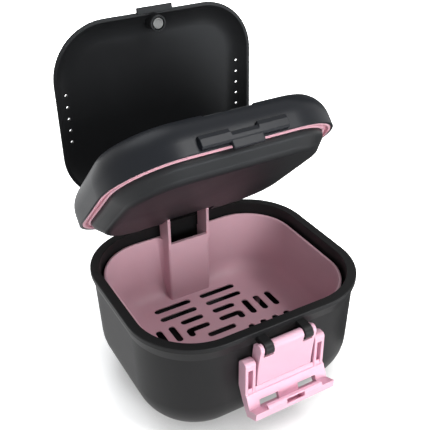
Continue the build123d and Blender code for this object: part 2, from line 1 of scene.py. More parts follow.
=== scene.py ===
"""Denture case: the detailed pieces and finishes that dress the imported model, with stage, lamps and camera.

Frame: X to the right, the clasp at -Y, Z up, origin at the centre of the tub's underside. Sizes are in
millimetres until a piece is placed, and in metres from then on. A section is a path of (inset, level)
pairs: how far a ring lies inside the outline, and its height. A side view is a path of (y, z) pairs. The
lid, its tray and the cover are shaped shut, then swung open to their rest angles.
"""

import json
import logging
import math
from collections.abc import Callable, Iterable, Sequence
from dataclasses import dataclass
from enum import Enum

import bmesh
import bpy
import numpy as np
from mathutils import Matrix, Vector


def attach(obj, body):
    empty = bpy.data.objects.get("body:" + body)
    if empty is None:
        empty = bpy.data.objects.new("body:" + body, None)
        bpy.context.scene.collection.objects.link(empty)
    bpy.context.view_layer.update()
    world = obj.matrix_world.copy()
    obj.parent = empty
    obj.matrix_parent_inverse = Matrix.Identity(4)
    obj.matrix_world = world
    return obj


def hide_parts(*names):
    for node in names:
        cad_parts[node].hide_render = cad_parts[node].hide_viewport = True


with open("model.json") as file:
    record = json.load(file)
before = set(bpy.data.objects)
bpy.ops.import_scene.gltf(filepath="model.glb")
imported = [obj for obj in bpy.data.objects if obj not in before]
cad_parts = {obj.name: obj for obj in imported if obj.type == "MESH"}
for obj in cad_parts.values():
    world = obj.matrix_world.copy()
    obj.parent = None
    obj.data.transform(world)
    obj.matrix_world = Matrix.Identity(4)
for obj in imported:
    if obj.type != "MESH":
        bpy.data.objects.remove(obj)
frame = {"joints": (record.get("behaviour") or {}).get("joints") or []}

Pair = tuple[float, float]
Corner = tuple[float, float, float]
Point = tuple[float, float, float]
Colour = tuple[float, float, float]
Piece = bpy.types.Object
Socket = bpy.types.NodeSocket

log = logging.getLogger("denture_case")

MILLIMETRE = 0.001
SIDES = (-1, 1)

# Steps of the curves: an outline's corners and straights, a turned piece, an eased edge, a slot's end and a
# bowed plate. An arc has as many as its angle asks for, and never fewer than the least.
CORNER_STEPS = 24
STRAIGHT_STEPS = 6
ROUND_STEPS = 48
EASE_STEPS = 3
END_STEPS = 12
BOW_STEPS = 12
ARC_STEP = math.radians(7.5)
ARC_LEAST = 3

# Edges past the first angle are shaded sharp, and those past the second are rounded over.
SHARP_ANGLE = math.radians(33)
SOFTEN_ANGLE = math.radians(35)
NORMAL_WEIGHT = 60

# Lengths that keep cuts and joins sound: a cutter runs THROUGH or CLEAR past a face, two cuts LAP, a joined
# solid SINKs into the next or stays a HAIR off its faces, and a SLIT is closed.
THROUGH = 2.0
CLEAR = 1.0
LAP = 0.1
SINK = 0.02
HAIR = 0.03
SLIT = 0.004
HOLE_SIDES = 8


class Join(Enum):
    """Ways of combining two solids."""

    ADD = "UNION"
    CUT = "DIFFERENCE"
    KEEP = "INTERSECT"


class Slot(Enum):
    """Material slots of the record."""

    BASE = "base_plastic"
    BASKET = "basket_plastic"
    PIN = "pin_steel"
    LID = "lid_plastic"
    TRAY = "tray_plastic"
    GASKET = "gasket_rubber"
    MAGNET = "magnet_plating"
    COVER = "cover_plastic"
    CLASP = "clasp_plastic"


class Body(Enum):
    """Moving bodies of the case."""

    BASE = "base"
    LID = "lid"
    COVER = "cover"
    CLASP = "clasp"


def joint(name: str) -> dict:
    """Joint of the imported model, as the record gives it."""
    return next(entry for entry in frame["joints"] if entry["name"] == name)


def rounded(corners: Sequence[Corner], closed: bool = False) -> list[Pair]:
    """Round the corners of a path.

    Args:
        corners: Points of the path, each with the radius of its corner.
        closed: Whether the last point joins the first.

    Returns:
        The path, with an arc of short chords at each corner that has a radius.
    """
    path: list[Pair] = []
    last = len(corners) - 1
    for index, (u, v, radius) in enumerate(corners):
        if radius <= 0 or (not closed and index in (0, last)):
            path.append((u, v))
            continue
        here = np.array((u, v))
        toward = np.array(corners[index - 1][:2]) - here
        away = np.array(corners[(index + 1) % len(corners)][:2]) - here
        toward = toward / np.linalg.norm(toward)
        away = away / np.linalg.norm(away)
        half = math.acos(float(np.clip(toward @ away, -1, 1))) / 2
        middle = (toward + away) / np.linalg.norm(toward + away)
        centre = here + middle * radius / math.sin(half)
        spoke = here + toward * radius / math.tan(half) - centre
        turn = math.pi - 2 * half
        if toward[0] * away[1] - toward[1] * away[0] > 0:
            turn = -turn
        steps = max(ARC_LEAST, math.ceil(abs(turn) / ARC_STEP))
        for step in range(steps + 1):
            angle = turn * step / steps
            du = math.cos(angle) * spoke[0] - math.sin(angle) * spoke[1]
            dv = math.sin(angle) * spoke[0] + math.cos(angle) * spoke[1]
            path.append((centre[0] + du, centre[1] + dv))
    return path


def arc(centre: Pair, radius: float, start: float, end: float) -> list[Corner]:
    """Points of an arc, as corners with no rounding of their own.

    Args:
        centre: Centre of the arc.
        radius: Radius of the arc.
        start: Angle of the first point, in degrees from the first axis.
        end: Angle of the last point, in degrees.

    Returns:
        The arc's points, its ends among them.
    """
    steps = max(ARC_LEAST, math.ceil(abs(math.radians(end - start)) / ARC_STEP))
    angles = [math.radians(start + (end - start) * step / steps) for step in range(steps + 1)]
    return [(centre[0] + radius * math.cos(a), centre[1] + radius * math.sin(a), 0.0) for a in angles]


def eased(radius: float) -> list[Pair]:
    """Eased edge in steps, as pairs of a run that grows from 0 and a rest that falls to 0.

    Args:
        radius: Radius of the edge.

    Returns:
        The pairs, from the edge's sharp side to its flat one.
    """
    angles = [math.pi / 2 * step / EASE_STEPS for step in range(EASE_STEPS + 1)]
    return [(radius * (1 - math.cos(angle)), radius * (1 - math.sin(angle))) for angle in angles]


def offset(point: Pair, move: Pair) -> Pair:
    """Side-view point at an offset from another."""
    return (point[0] + move[0], point[1] + move[1])


def swung(point: Pair, centre: Pair, angle: float) -> Pair:
    """Swing a side-view point about a centre, the way that the lid opens.

    Args:
        point: The point to swing.
        centre: Point that it swings about.
        angle: Angle in degrees, positive as the lid opens.

    Returns:
        The point in its new place.
    """
    turn = math.radians(angle)
    y = point[0] - centre[0]
    z = point[1] - centre[1]
    return (
        centre[0] + y * math.cos(turn) + z * math.sin(turn),
        centre[1] - y * math.sin(turn) + z * math.cos(turn),
    )


def span(side: int, low: float, high: float) -> Pair:
    """Ends along X of a stretch on one side of the middle, in rising order."""
    return (low, high) if side > 0 else (-high, -low)


def across(half: float) -> Pair:
    """Ends along X of a stretch that lies evenly across the middle."""
    return (-half, half)


def past(x: Pair) -> Pair:
    """Ends that run past both ends of a stretch, for a cut right through it."""
    return (x[0] - THROUGH, x[1] + THROUGH)


@dataclass(frozen=True)
class Outline:
    """Rounded rectangle seen from above, which the rings of a piece are set in from."""

    width: float
    depth: float
    corner: float
    shift: float = 0.0

    def ring(self, inset: float, level: float) -> list[Point]:
        """Points round the outline at one level.

        Args:
            inset: Distance that the ring lies inside the outline.
            level: Height of the ring.

        Returns:
            The ring's points, the same number for every ring.
        """
        radius = self.corner - inset
        points: list[Point] = []
        for quarter, (side_x, side_y) in enumerate(((1, 1), (-1, 1), (-1, -1), (1, -1))):
            centre_x = side_x * (self.width / 2 - self.corner)
            centre_y = side_y * (self.depth / 2 - self.corner) + self.shift
            for step in range(CORNER_STEPS + 1):
                angle = math.pi / 2 * (quarter + step / CORNER_STEPS)
                x = centre_x + radius * math.cos(angle)
                points.append((x, centre_y + radius * math.sin(angle), level))
        ring: list[Point] = []
        for index, point in enumerate(points):
            ring.append(point)
            if index % (CORNER_STEPS + 1) == CORNER_STEPS:
                ahead = points[(index + 1) % len(points)]
                for step in range(1, STRAIGHT_STEPS):
                    share = step / STRAIGHT_STEPS
                    x = point[0] + share * (ahead[0] - point[0])
                    ring.append((x, point[1] + share * (ahead[1] - point[1]), level))
        return ring


def linked(name: str, data: bpy.types.ID) -> Piece:
    """Make an object of a mesh, a light or a camera, and link it to the scene.

    Args:
        name: Name of the object.
        data: Its mesh, light or camera.

    Returns:
        The new object.
    """
    item = bpy.data.objects.new(name, data)
    bpy.context.scene.collection.objects.link(item)
    return item


def solid(name: str, points: Sequence[Point], faces: Sequence[Sequence[int]]) -> Piece:
    """Make a mesh object from points and faces, its faces turned outward.

    Args:
        name: Name of the object.
        points: The mesh's points.
        faces: The mesh's faces, as indices of points.

    Returns:
        The new object, linked to the scene.
    """
    mesh = bpy.data.meshes.new(name)
    mesh.from_pydata([tuple(map(float, point)) for point in points], [], [tuple(f) for f in faces])
    mesh.validate()
    if sum(face.area * face.normal.dot(face.center) for face in mesh.polygons) < 0:
        mesh.flip_normals()
    return linked(name, mesh)


def loft(name: str, rings: Sequence[Sequence[Point]], looped: bool = False) -> Piece:
    """Skin a row of rings.

    Args:
        name: Name of the object.
        rings: Rings of points, all with the same number.
        looped: Whether the last ring joins the first; otherwise both ends are closed flat.

    Returns:
        The new object.
    """
    count = len(rings[0])
    points = [point for ring in rings for point in ring]
    faces: list[tuple[int, ...]] = []
    for index in range(len(rings) if looped else len(rings) - 1):
        low = index * count
        high = (index + 1) % len(rings) * count
        for step in range(count):
            ahead = (step + 1) % count
            faces.append((low + step, low + ahead, high + ahead, high + step))
    if not looped:
        faces.append(tuple(range(count - 1, -1, -1)))
        faces.append(tuple(range(len(points) - count, len(points))))
    return solid(name, points, faces)


def shell(name: str, outline: Outline, section: Iterable[Pair], looped: bool = False) -> Piece:
    """Carry a section of (inset, level) pairs round an outline, its ends closed unless it is looped."""
    return loft(name, [outline.ring(inset, level) for inset, level in section], looped)


def bar(name: str, side_view: Sequence[Pair], x: Pair) -> Piece:
    """Carry a closed side view of (y, z) pairs along X between two ends."""
    return loft(name, [[(end, y, z) for y, z in side_view] for end in x])


def block(name: str, x: Pair, y: Pair, z: Pair) -> Piece:
    """Box given by its low and high ends along each axis."""
    return bar(name, [(y[0], z[0]), (y[1], z[0]), (y[1], z[1]), (y[0], z[1])], x)


def turned(name: str, centre: Pair, section: Sequence[Pair], upright: bool) -> Piece:
    """Turn a section about a line, as on a lathe.

    Args:
        name: Name of the object.
        centre: Where the line crosses the plan, or the side view if the line runs along X.
        section: Path of (place along the line, radius) pairs.
        upright: Whether the line is upright; otherwise it runs along X.

    Returns:
        The new object.
    """
    rings: list[list[Point]] = []
    for along, radius in section:
        ring: list[Point] = []
        for step in range(ROUND_STEPS):
            angle = 2 * math.pi * step / ROUND_STEPS
            a = centre[0] + radius * math.cos(angle)
            b = centre[1] + radius * math.sin(angle)
            ring.append((a, b, along) if upright else (along, a, b))
        rings.append(ring)
    return loft(name, rings)


def rod(
    name: str, centre: Pair, radius: float, ends: Pair, edge: float = 0.0, upright: bool = False
) -> Piece:
    """Round bar, its end edges rounded over.

    Args:
        name: Name of the object.
        centre: Where its line crosses the side view, or the plan if it is upright.
        radius: Its radius.
        ends: Low and high ends along its line.
        edge: Radius of its end edges.
        upright: Whether it stands upright; otherwise it runs along X.

    Returns:
        The new object.
    """
    low, high = ends
    corners = [(low, radius / 2, 0.0), (low, radius, edge), (high, radius, edge), (high, radius / 2, 0.0)]
    return turned(name, centre, rounded(corners), upright)


def apply(piece: Piece) -> Piece:
    """Make the result of a piece's modifiers its mesh.

    Args:
        piece: The object with modifiers.

    Returns:
        The same object, with no modifier left.
    """
    evaluated = piece.evaluated_get(bpy.context.evaluated_depsgraph_get())
    mesh = bpy.data.meshes.new_from_object(evaluated)
    old = piece.data
    piece.modifiers.clear()
    piece.data = mesh
    bpy.data.meshes.remove(old)
    return piece


def close(piece: Piece) -> Piece:
    """Close the slits that cutting and joining may leave in a piece.

    Args:
        piece: The piece to work on.

    Returns:
        The piece.
    """
    mesh = bmesh.new()
    mesh.from_mesh(piece.data)
    torn = [edge for edge in mesh.edges if len(edge.link_faces) != 2]
    if torn:
        bmesh.ops.remove_doubles(mesh, verts=mesh.verts[:], dist=SLIT)
        bmesh.ops.dissolve_degenerate(mesh, dist=SLIT, edges=mesh.edges[:])
        torn = [edge for edge in mesh.edges if len(edge.link_faces) < 2]
        bmesh.ops.holes_fill(mesh, edges=torn, sides=HOLE_SIDES)
        bmesh.ops.recalc_face_normals(mesh, faces=mesh.faces[:])
        mesh.to_mesh(piece.data)
    mesh.free()
    return piece


def combine(piece: Piece, tools: Iterable[Piece], way: Join) -> Piece:
    """Combine a piece with other solids, which are used up.

    Args:
        piece: The solid to work on.
        tools: The other solids, taken one after another.
        way: How they combine.

    Returns:
        The piece.
    """
    for tool in tools:
        modifier = piece.modifiers.new(way.name, "BOOLEAN")
        modifier.operation = way.value
        modifier.solver = "EXACT"
        modifier.object = tool
        faces = len(piece.data.polygons)
        close(apply(piece))
        if len(piece.data.polygons) < faces / 2 and way is not Join.KEEP:
            log.warning("%s: %s %s lost faces", piece.name, way.name, tool.name)
        bpy.data.objects.remove(tool)
    return piece


def soften(piece: Piece, width: float, segments: int = 3) -> Piece:
    """Round over the sharp edges of a piece.

    Args:
        piece: The piece to work on.
        width: Width of the rounding.
        segments: Steps across it.

    Returns:
        The piece.
    """
    modifier = piece.modifiers.new("soften", "BEVEL")
    modifier.width = width
    modifier.segments = segments
    modifier.limit_method = "ANGLE"
    modifier.angle_limit = SOFTEN_ANGLE
    modifier.use_clamp_overlap = True
    return apply(piece)


def trim(piece: Piece, outline: Outline, section: Iterable[Pair]) -> Piece:
    """Keep what lies inside a section carried round an outline."""
    return combine(piece, [shell("envelope", outline, section)], Join.KEEP)


def bored(barrel: Piece, web: Piece, line: Pair, bore: float, x: Pair) -> Piece:
    """Join a hinge knuckle to its web and bore it for the pin.

    Args:
        barrel: The knuckle's round bar.
        web: The web that carries it.
        line: Side-view point of the hinge line.
        bore: Radius of the bore.
        x: The knuckle's ends along X.

    Returns:
        The barrel with its web and bore.
    """
    combine(barrel, [web], Join.ADD)
    return combine(barrel, [rod("pin_bore", line, bore, past(x))], Join.CUT)


@dataclass(frozen=True)
class Swing:
    """Turn about a hinge line along X, from shut to rest."""

    centre: Pair
    angle: float

    def matrix(self) -> Matrix:
        """Matrix of the turn, in metres."""
        place = Matrix.Translation((0, self.centre[0] * MILLIMETRE, self.centre[1] * MILLIMETRE))
        return place @ Matrix.Rotation(-math.radians(self.angle), 4, "X") @ place.inverted()


@dataclass(frozen=True)
class Fitting:
    """Where a finished piece belongs."""

    body: Body
    slot: Slot
    nodes: tuple[str, ...]
    swings: tuple[Swing, ...] = ()


def place(piece: Piece, fitting: Fitting, finish: bpy.types.Material) -> Piece:
    """Scale a piece to metres, swing it to rest, smooth it, give it its finish and fix it to its body.

    Args:
        piece: The finished shape, in millimetres.
        fitting: Where it belongs.
        finish: Its material.

    Returns:
        The piece.
    """
    matrix = Matrix.Diagonal((MILLIMETRE, MILLIMETRE, MILLIMETRE, 1))
    for swing in fitting.swings:
        matrix = swing.matrix() @ matrix
    piece.data.transform(matrix)
    piece.data.polygons.foreach_set("use_smooth", [True] * len(piece.data.polygons))
    piece.data.set_sharp_from_angle(angle=SHARP_ANGLE)
    normals = piece.modifiers.new("normals", "WEIGHTED_NORMAL")
    normals.keep_sharp = True
    normals.weight = NORMAL_WEIGHT
    apply(piece)
    piece.data.materials.clear()
    piece.data.materials.append(finish)
    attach(piece, fitting.body.value)
    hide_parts(*fitting.nodes)
    log.info("%s: %d faces, on %s", piece.name, len(piece.data.polygons), fitting.body.value)
    return piece


# Places of the colours among a Mix node's inputs, and of their mix among its outputs.
MIX_COLOURS = (6, 7)
MIX_RESULT = 2


class NodeBoard:
    """Nodes of one material or group, placed and joined by name."""

    def __init__(self, tree: bpy.types.NodeTree) -> None:
        """Empty a node tree, to fill it anew."""
        self.tree = tree
        tree.nodes.clear()

    def add(self, kind: str, **inputs: object) -> bpy.types.Node:
        """Add a node.

        Args:
            kind: The node's type, without its ShaderNode prefix.
            inputs: Values or sockets for its inputs, by name with underscores for spaces; a name in
                lower case sets a property of the node.

        Returns:
            The new node.
        """
        node = self.tree.nodes.new(f"ShaderNode{kind}")
        for name, value in inputs.items():
            if name.islower():
                setattr(node, name, value)
        for name, value in inputs.items():
            if not name.islower():
                self.feed(node.inputs[name.replace("_", " ")], value)
        return node

    def feed(self, socket: Socket, value: object) -> None:
        """Join a socket to another, or set its value.

        Args:
            socket: The input to feed.
            value: An output socket or a plain value.
        """
        if isinstance(value, Socket):
            self.tree.links.new(value, socket)
        else:
            socket.default_value = value

    def sum(self, operation: str, first: object, second: object, clamp: bool = False) -> Socket:
        """Work out a value from two others.

        Args:
            operation: The Math node's operation.
            first: A socket or number.
            second: A socket or number.
            clamp: Whether the result stays between 0 and 1.

        Returns:
            The result's socket.
        """
        node = self.tree.nodes.new("ShaderNodeMath")
        node.operation = operation
        node.use_clamp = clamp
        self.feed(node.inputs[0], first)
        self.feed(node.inputs[1], second)
        return node.outputs[0]

    def blend(self, share: object, first: object, second: object) -> Socket:
        """Mix two colours.

        Args:
            share: Socket or number from 0, the first colour, to 1, the second.
            first: A socket or an RGBA colour.
            second: A socket or an RGBA colour.

        Returns:
            The mixed colour's socket.
        """
        node = self.tree.nodes.new("ShaderNodeMix")
        node.data_type = "RGBA"
        self.feed(node.inputs[0], share)
        self.feed(node.inputs[MIX_COLOURS[0]], first)
        self.feed(node.inputs[MIX_COLOURS[1]], second)
        return node.outputs[MIX_RESULT]

    def spread(self, value: Socket, low: float, high: float) -> Socket:
        """Carry a value from 0 to 1 onto another range, and return the new value's socket."""
        return self.add("MapRange", Value=value, To_Min=low, To_Max=high).outputs[0]

    def show(self, shader: bpy.types.Node, kind: str = "Material") -> None:
        """Send a shader to the surface of the material, or of the World."""
        self.feed(self.add(f"Output{kind}").inputs["Surface"], shader.outputs[0])


def blank(name: str) -> tuple[bpy.types.Material, NodeBoard]:
    """Make a new material, and return it with its empty board.

    Args:
        name: Name of the material.

    Returns:
        The material and the board of its nodes.
    """
    material = bpy.data.materials.new(name)
    material.use_nodes = True
    return material, NodeBoard(material.node_tree)


@dataclass(frozen=True)
class Effect:
    """Effect that several finishes share, kept as one node group."""

    name: str
    inputs: tuple[tuple[str, float], ...]
    outputs: tuple[str, ...]
    wire: Callable[[NodeBoard, dict[str, Socket]], dict[str, Socket]]

    def group(self) -> bpy.types.NodeTree:
        """Node group of the effect, made the first time that it is asked for.

        Returns:
            The group.
        """
        known = bpy.data.node_groups.get(self.name)
        if known:
            return known
        tree = bpy.data.node_groups.new(self.name, "ShaderNodeTree")
        for name, value in self.inputs:
            socket = tree.interface.new_socket(name, in_out="INPUT", socket_type="NodeSocketFloat")
            socket.default_value = value
        for name in self.outputs:
            tree.interface.new_socket(name, in_out="OUTPUT", socket_type="NodeSocketFloat")
        board = NodeBoard(tree)
        entry = tree.nodes.new("NodeGroupInput")
        leave = tree.nodes.new("NodeGroupOutput")
        results = self.wire(board, {socket.name: socket for socket in entry.outputs if socket.name})
        for name, socket in results.items():
            tree.links.new(socket, leave.inputs[name])
        return tree

    def use(self, board: NodeBoard, **inputs: object) -> dict[str, Socket]:
        """Place the effect in a material.

        Args:
            board: The material's board.
            inputs: Values for its inputs.

        Returns:
            Its outputs by name.
        """
        node = board.tree.nodes.new("ShaderNodeGroup")
        node.node_tree = self.group()
        for name, value in inputs.items():
            board.feed(node.inputs[name], value)
        return {socket.name: socket for socket in node.outputs}


# Scale and height of the grain's slow unevenness against its pits, and how strong the faintest scuff is.
WAVE_SCALE = 0.14
WAVE_HEIGHT = 0.35
SCUFF_LEAST = 0.45


def wire_grain(board: NodeBoard, inputs: dict[str, Socket]) -> dict[str, Socket]:
    """Wire the spark-eroded grain of a mould: fine pits over a slower unevenness.

    Args:
        board: The group's board.
        inputs: The group's inputs.

    Returns:
        The group's results.
    """
    place_of = board.add("TexCoord").outputs["Object"]
    pits = board.add(
        "TexNoise", Vector=place_of, Scale=inputs["Fineness"], Detail=4.0, Roughness=0.65, Lacunarity=2.1
    )
    slow = board.sum("MULTIPLY", inputs["Fineness"], WAVE_SCALE)
    waves = board.add("TexNoise", Vector=place_of, Scale=slow, Detail=2.0, Roughness=0.5)
    lifted = board.sum("MULTIPLY", waves.outputs[0], WAVE_HEIGHT)
    return {"Height": board.sum("ADD", pits.outputs[0], lifted), "Pits": pits.outputs[0]}


def wire_flow(board: NodeBoard, inputs: dict[str, Socket]) -> dict[str, Socket]:
    """Wire the faint cloudiness that plastic keeps from flowing through its mould.

    Args:
        board: The group's board.
        inputs: The group's inputs.

    Returns:
        The group's results.
    """
    place_of = board.add("TexCoord").outputs["Object"]
    stretched = board.add("Mapping", Vector=place_of, Scale=(1.0, 0.55, 1.6)).outputs[0]
    clouds = board.add(
        "TexNoise",
        Vector=stretched,
        Scale=inputs["Breadth"],
        Detail=3.0,
        Roughness=0.55,
        Distortion=0.8,
    )
    tone = board.add("MapRange", Value=clouds.outputs[0], From_Min=0.3, From_Max=0.7)
    return {"Tone": tone.outputs[0]}


def wire_wear(board: NodeBoard, inputs: dict[str, Socket]) -> dict[str, Socket]:
    """Wire the rubbed line along outside edges, broken up by small scuffs.

    Args:
        board: The group's board.
        inputs: The group's inputs.

    Returns:
        The group's results.
    """
    smooth = board.add("Bevel", samples=6, Radius=inputs["Width"]).outputs[0]
    true = board.add("NewGeometry").outputs["Normal"]
    facing = board.add("VectorMath", operation="DOT_PRODUCT")
    board.feed(facing.inputs[0], smooth)
    board.feed(facing.inputs[1], true)
    turned_away = board.sum("SUBTRACT", 1.0, facing.outputs["Value"])
    edge = board.add("MapRange", Value=turned_away, From_Min=0.02, From_Max=0.22)
    place_of = board.add("TexCoord").outputs["Object"]
    scuffs = board.add("TexNoise", Vector=place_of, Scale=inputs["Scuffs"], Detail=5.0, Roughness=0.7)
    patchy = board.add("MapRange", Value=scuffs.outputs[0], From_Min=0.38, From_Max=0.62)
    strength = board.spread(patchy.outputs[0], SCUFF_LEAST, 1.0)
    worn = board.sum("MULTIPLY", edge.outputs[0], strength, clamp=True)
    return {"Worn": worn, "Scuffed": patchy.outputs[0]}


GRAIN = Effect("mould_grain", (("Fineness", 2400.0),), ("Height", "Pits"), wire_grain)
FLOW = Effect("flow_marks", (("Breadth", 28.0),), ("Tone",), wire_flow)
WEAR = Effect("rubbed_edges", (("Width", 0.0004), ("Scuffs", 900.0)), ("Worn", "Scuffed"), wire_wear)


def rgba(colour: Colour, factor: float = 1.0) -> tuple[float, float, float, float]:
    """Give a colour an alpha, and make it lighter or darker by a factor."""
    return (colour[0] * factor, colour[1] * factor, colour[2] * factor, 1.0)


@dataclass(frozen=True)
class MouldedPlastic:
    """Moulded plastic: an eroded grain, faint flow marks, rubbed edges and, where it is pale, a glow."""

    name: str
    colour: Colour
    rubbed: Colour
    roughness: float
    sheen_level: float = 0.5
    ior: float = 1.45
    grain: float = 2400.0
    grain_depth: float = 0.06
    grain_reach: float = 0.0001
    grain_shine: float = 0.05
    flow: float = 0.08
    flow_breadth: float = 28.0
    flow_shine: float = 0.025
    wear: float = 0.18
    wear_width: float = 0.0004
    wear_shine: float = 0.10
    glow_depth: float = 0.0
    glow_share: float = 0.12
    glow_tint: Colour = (1.0, 0.55, 0.5)

    def material(self) -> bpy.types.Material:
        """Material of the finish.

        Returns:
            The new material.
        """
        material, board = blank(self.name)
        grain = GRAIN.use(board, Fineness=self.grain)
        flow = FLOW.use(board, Breadth=self.flow_breadth)
        wear = WEAR.use(board, Width=self.wear_width)
        low = rgba(self.colour, 1 - self.flow)
        high = rgba(self.colour, 1 + self.flow)
        body = board.blend(flow["Tone"], low, high)
        share = board.sum("MULTIPLY", wear["Worn"], self.wear)
        colour = board.blend(share, body, rgba(self.rubbed))
        eroded = board.spread(
            grain["Pits"], self.roughness - self.grain_shine, self.roughness + self.grain_shine
        )
        clouded = board.sum("ADD", eroded, board.spread(flow["Tone"], -self.flow_shine, self.flow_shine))
        polish = board.sum("MULTIPLY", share, -self.wear_shine)
        roughness = board.sum("ADD", clouded, polish, clamp=True)
        bump = board.add(
            "Bump", Strength=self.grain_depth, Distance=self.grain_reach, Height=grain["Height"]
        )
        shader = board.add(
            "BsdfPrincipled",
            Base_Color=colour,
            Roughness=roughness,
            Normal=bump.outputs[0],
            Specular_IOR_Level=self.sheen_level,
            IOR=self.ior,
        )
        if self.glow_depth > 0:
            shader.inputs["Subsurface Weight"].default_value = self.glow_share
            shader.inputs["Subsurface Radius"].default_value = self.glow_tint
            shader.inputs["Subsurface Scale"].default_value = self.glow_depth
        board.show(shader)
        return material


@dataclass(frozen=True)
class BrushedMetal:
    """Metal finish: turned lines round its axis, small scratches and a bright worn edge."""

    name: str
    colour: Colour
    roughness: float
    line_scale: float
    line_axis: str
    line_depth: float = 0.12
    line_reach: float = 0.00008
    line_height: float = 0.6
    line_dark: float = 0.86
    line_bright: float = 1.04
    grain: float = 1500.0
    scuffs: float = 1600.0
    scuff_shine: float = 0.06
    wear: float = 0.4
    wear_width: float = 0.0003
    wear_bright: float = 1.1
    metallic: float = 1.0

    def material(self) -> bpy.types.Material:
        """Material of the finish.

        Returns:
            The new material.
        """
        material, board = blank(self.name)
        place_of = board.add("TexCoord").outputs["Generated"]
        lines = board.add(
            "TexWave",
            wave_type="RINGS",
            rings_direction=self.line_axis,
            Vector=board.add("Mapping", Vector=place_of, Location=(-0.5, -0.5, -0.5)).outputs[0],
            Scale=self.line_scale,
            Distortion=1.5,
            Detail=3.0,
            Detail_Scale=2.0,
        )
        grain = GRAIN.use(board, Fineness=self.grain)
        wear = WEAR.use(board, Width=self.wear_width, Scuffs=self.scuffs)
        dark = rgba(self.colour, self.line_dark)
        dull = board.blend(lines.outputs[1], dark, rgba(self.colour, self.line_bright))
        share = board.sum("MULTIPLY", wear["Worn"], self.wear)
        colour = board.blend(share, dull, rgba(self.colour, self.wear_bright))
        marks = board.sum("ADD", grain["Height"], board.sum("MULTIPLY", lines.outputs[1], self.line_height))
        bump = board.add("Bump", Strength=self.line_depth, Distance=self.line_reach, Height=marks)
        low, high = self.roughness - self.scuff_shine, self.roughness + self.scuff_shine
        shader = board.add(
            "BsdfPrincipled",
            Base_Color=colour,
            Metallic=self.metallic,
            Roughness=board.spread(wear["Scuffed"], low, high),
            Normal=bump.outputs[0],
        )
        board.show(shader)
        return material


BASE_BLACK = MouldedPlastic(
    "satin_black_tub", (0.0105, 0.0105, 0.011), (0.045, 0.045, 0.048), 0.42, sheen_level=0.40, ior=1.34
)
LID_BLACK = MouldedPlastic(
    "satin_black_lid", (0.0075, 0.0088, 0.0120), (0.042, 0.045, 0.052), 0.36, sheen_level=0.40, ior=1.34
)
# The tray's and the cover's blacks are partly their own and partly painted light: set lighter than the tub's
# black to brighten the shaded underside of the tray and inside of the cover.
TRAY_BLACK_WITH_PAINTED_FILL = MouldedPlastic(
    "satin_black_tray_painted_fill", (0.0125, 0.0132, 0.0145), (0.040, 0.040, 0.044), 0.42, sheen_level=0.40, ior=1.34
)
COVER_BLACK_WITH_PAINTED_FILL = MouldedPlastic(
    "satin_black_cover_painted_fill", (0.0125, 0.0130, 0.0140), (0.040, 0.040, 0.043), 0.40, sheen_level=0.32, ior=1.34
)
# The basket's pink is partly its own and partly painted shade: set darker than the clasp's pink to stand in
# for the shade inside the bowl.
BASKET_PINK_WITH_PAINTED_SHADE = MouldedPlastic(
    "pink_basket_with_painted_shade",
    (0.61, 0.385, 0.445),
    (0.74, 0.52, 0.58),
    0.42,
    sheen_level=0.35,
    grain_depth=0.10,
    flow=0.03,
    wear=0.35,
    glow_depth=0.0012,
)
CLASP_PINK = MouldedPlastic(
    "pale_pink_clasp",
    (0.80, 0.485, 0.60),
    (0.96, 0.72, 0.81),
    0.36,
    sheen_level=0.4,
    grain_depth=0.04,
    flow=0.025,
    wear=0.35,
    glow_depth=0.0015,
)
GASKET_PINK = MouldedPlastic(
    "pink_silicone_gasket",
    (0.72, 0.41, 0.48),
    (0.80, 0.53, 0.59),
    0.55,
    sheen_level=0.35,
    grain=1500.0,
    grain_depth=0.10,
    flow=0.04,
    wear=0.2,
    glow_depth=0.0010,
)
# The magnet's plating is set far darker than nickel: painted shade, which dims the reflections that it shows.
MAGNET_SILVER_PAINTED_DARK = BrushedMetal("nickel_plated_magnet_painted_dark", (0.125, 0.122, 0.118), 0.38, 9.0, "Z")
PIN_STEEL = BrushedMetal("ground_steel_pin", (0.62, 0.62, 0.63), 0.30, 14.0, "X")


@dataclass(frozen=True)
class Case:
    """Sizes that the tub, the lid and their parts share."""

    width: float = 96.0
    depth: float = 83.7
    corner: float = 26.6
    core: float = 2.0
    tub_height: float = 48.2
    lid_base: float = 48.54
    lid_top: float = 62.3
    flange_bottom: float = 50.5
    flange_top: float = 51.7
    hinge: Pair = (45.53, 48.88)
    hinge_knuckle: float = 2.6
    hinge_bore: float = 1.24
    web_edge: float = 0.15
    cover_hinge: Pair = (36.7, 60.3)
    cover_bore: float = 0.84
    boss_y: float = -32.4
    boss_room: float = 3.7
    ledge_top: float = 59.1
    clasp_line: Pair = (-45.5, 43.5)

    @property
    def front(self) -> float:
        """Front of the outline."""
        return -self.depth / 2

    @property
    def back(self) -> float:
        """Back of the outline."""
        return self.depth / 2

    @property
    def middle(self) -> float:
        """Inset of the last ring of a section, close to the middle."""
        return self.corner - self.core

    @property
    def outline(self) -> Outline:
        """Outline of the rim."""
        return Outline(self.width, self.depth, self.corner)

    @property
    def lid_swing(self) -> Swing:
        """Turn of the lid from shut to rest."""
        return Swing(self.hinge, -joint("lid_hinge")["range_deg"][0])

    @property
    def cover_swing(self) -> Swing:
        """Turn of the cover from shut to rest."""
        return Swing(self.cover_hinge, -joint("cover_hinge")["range_deg"][0])


CASE = Case()


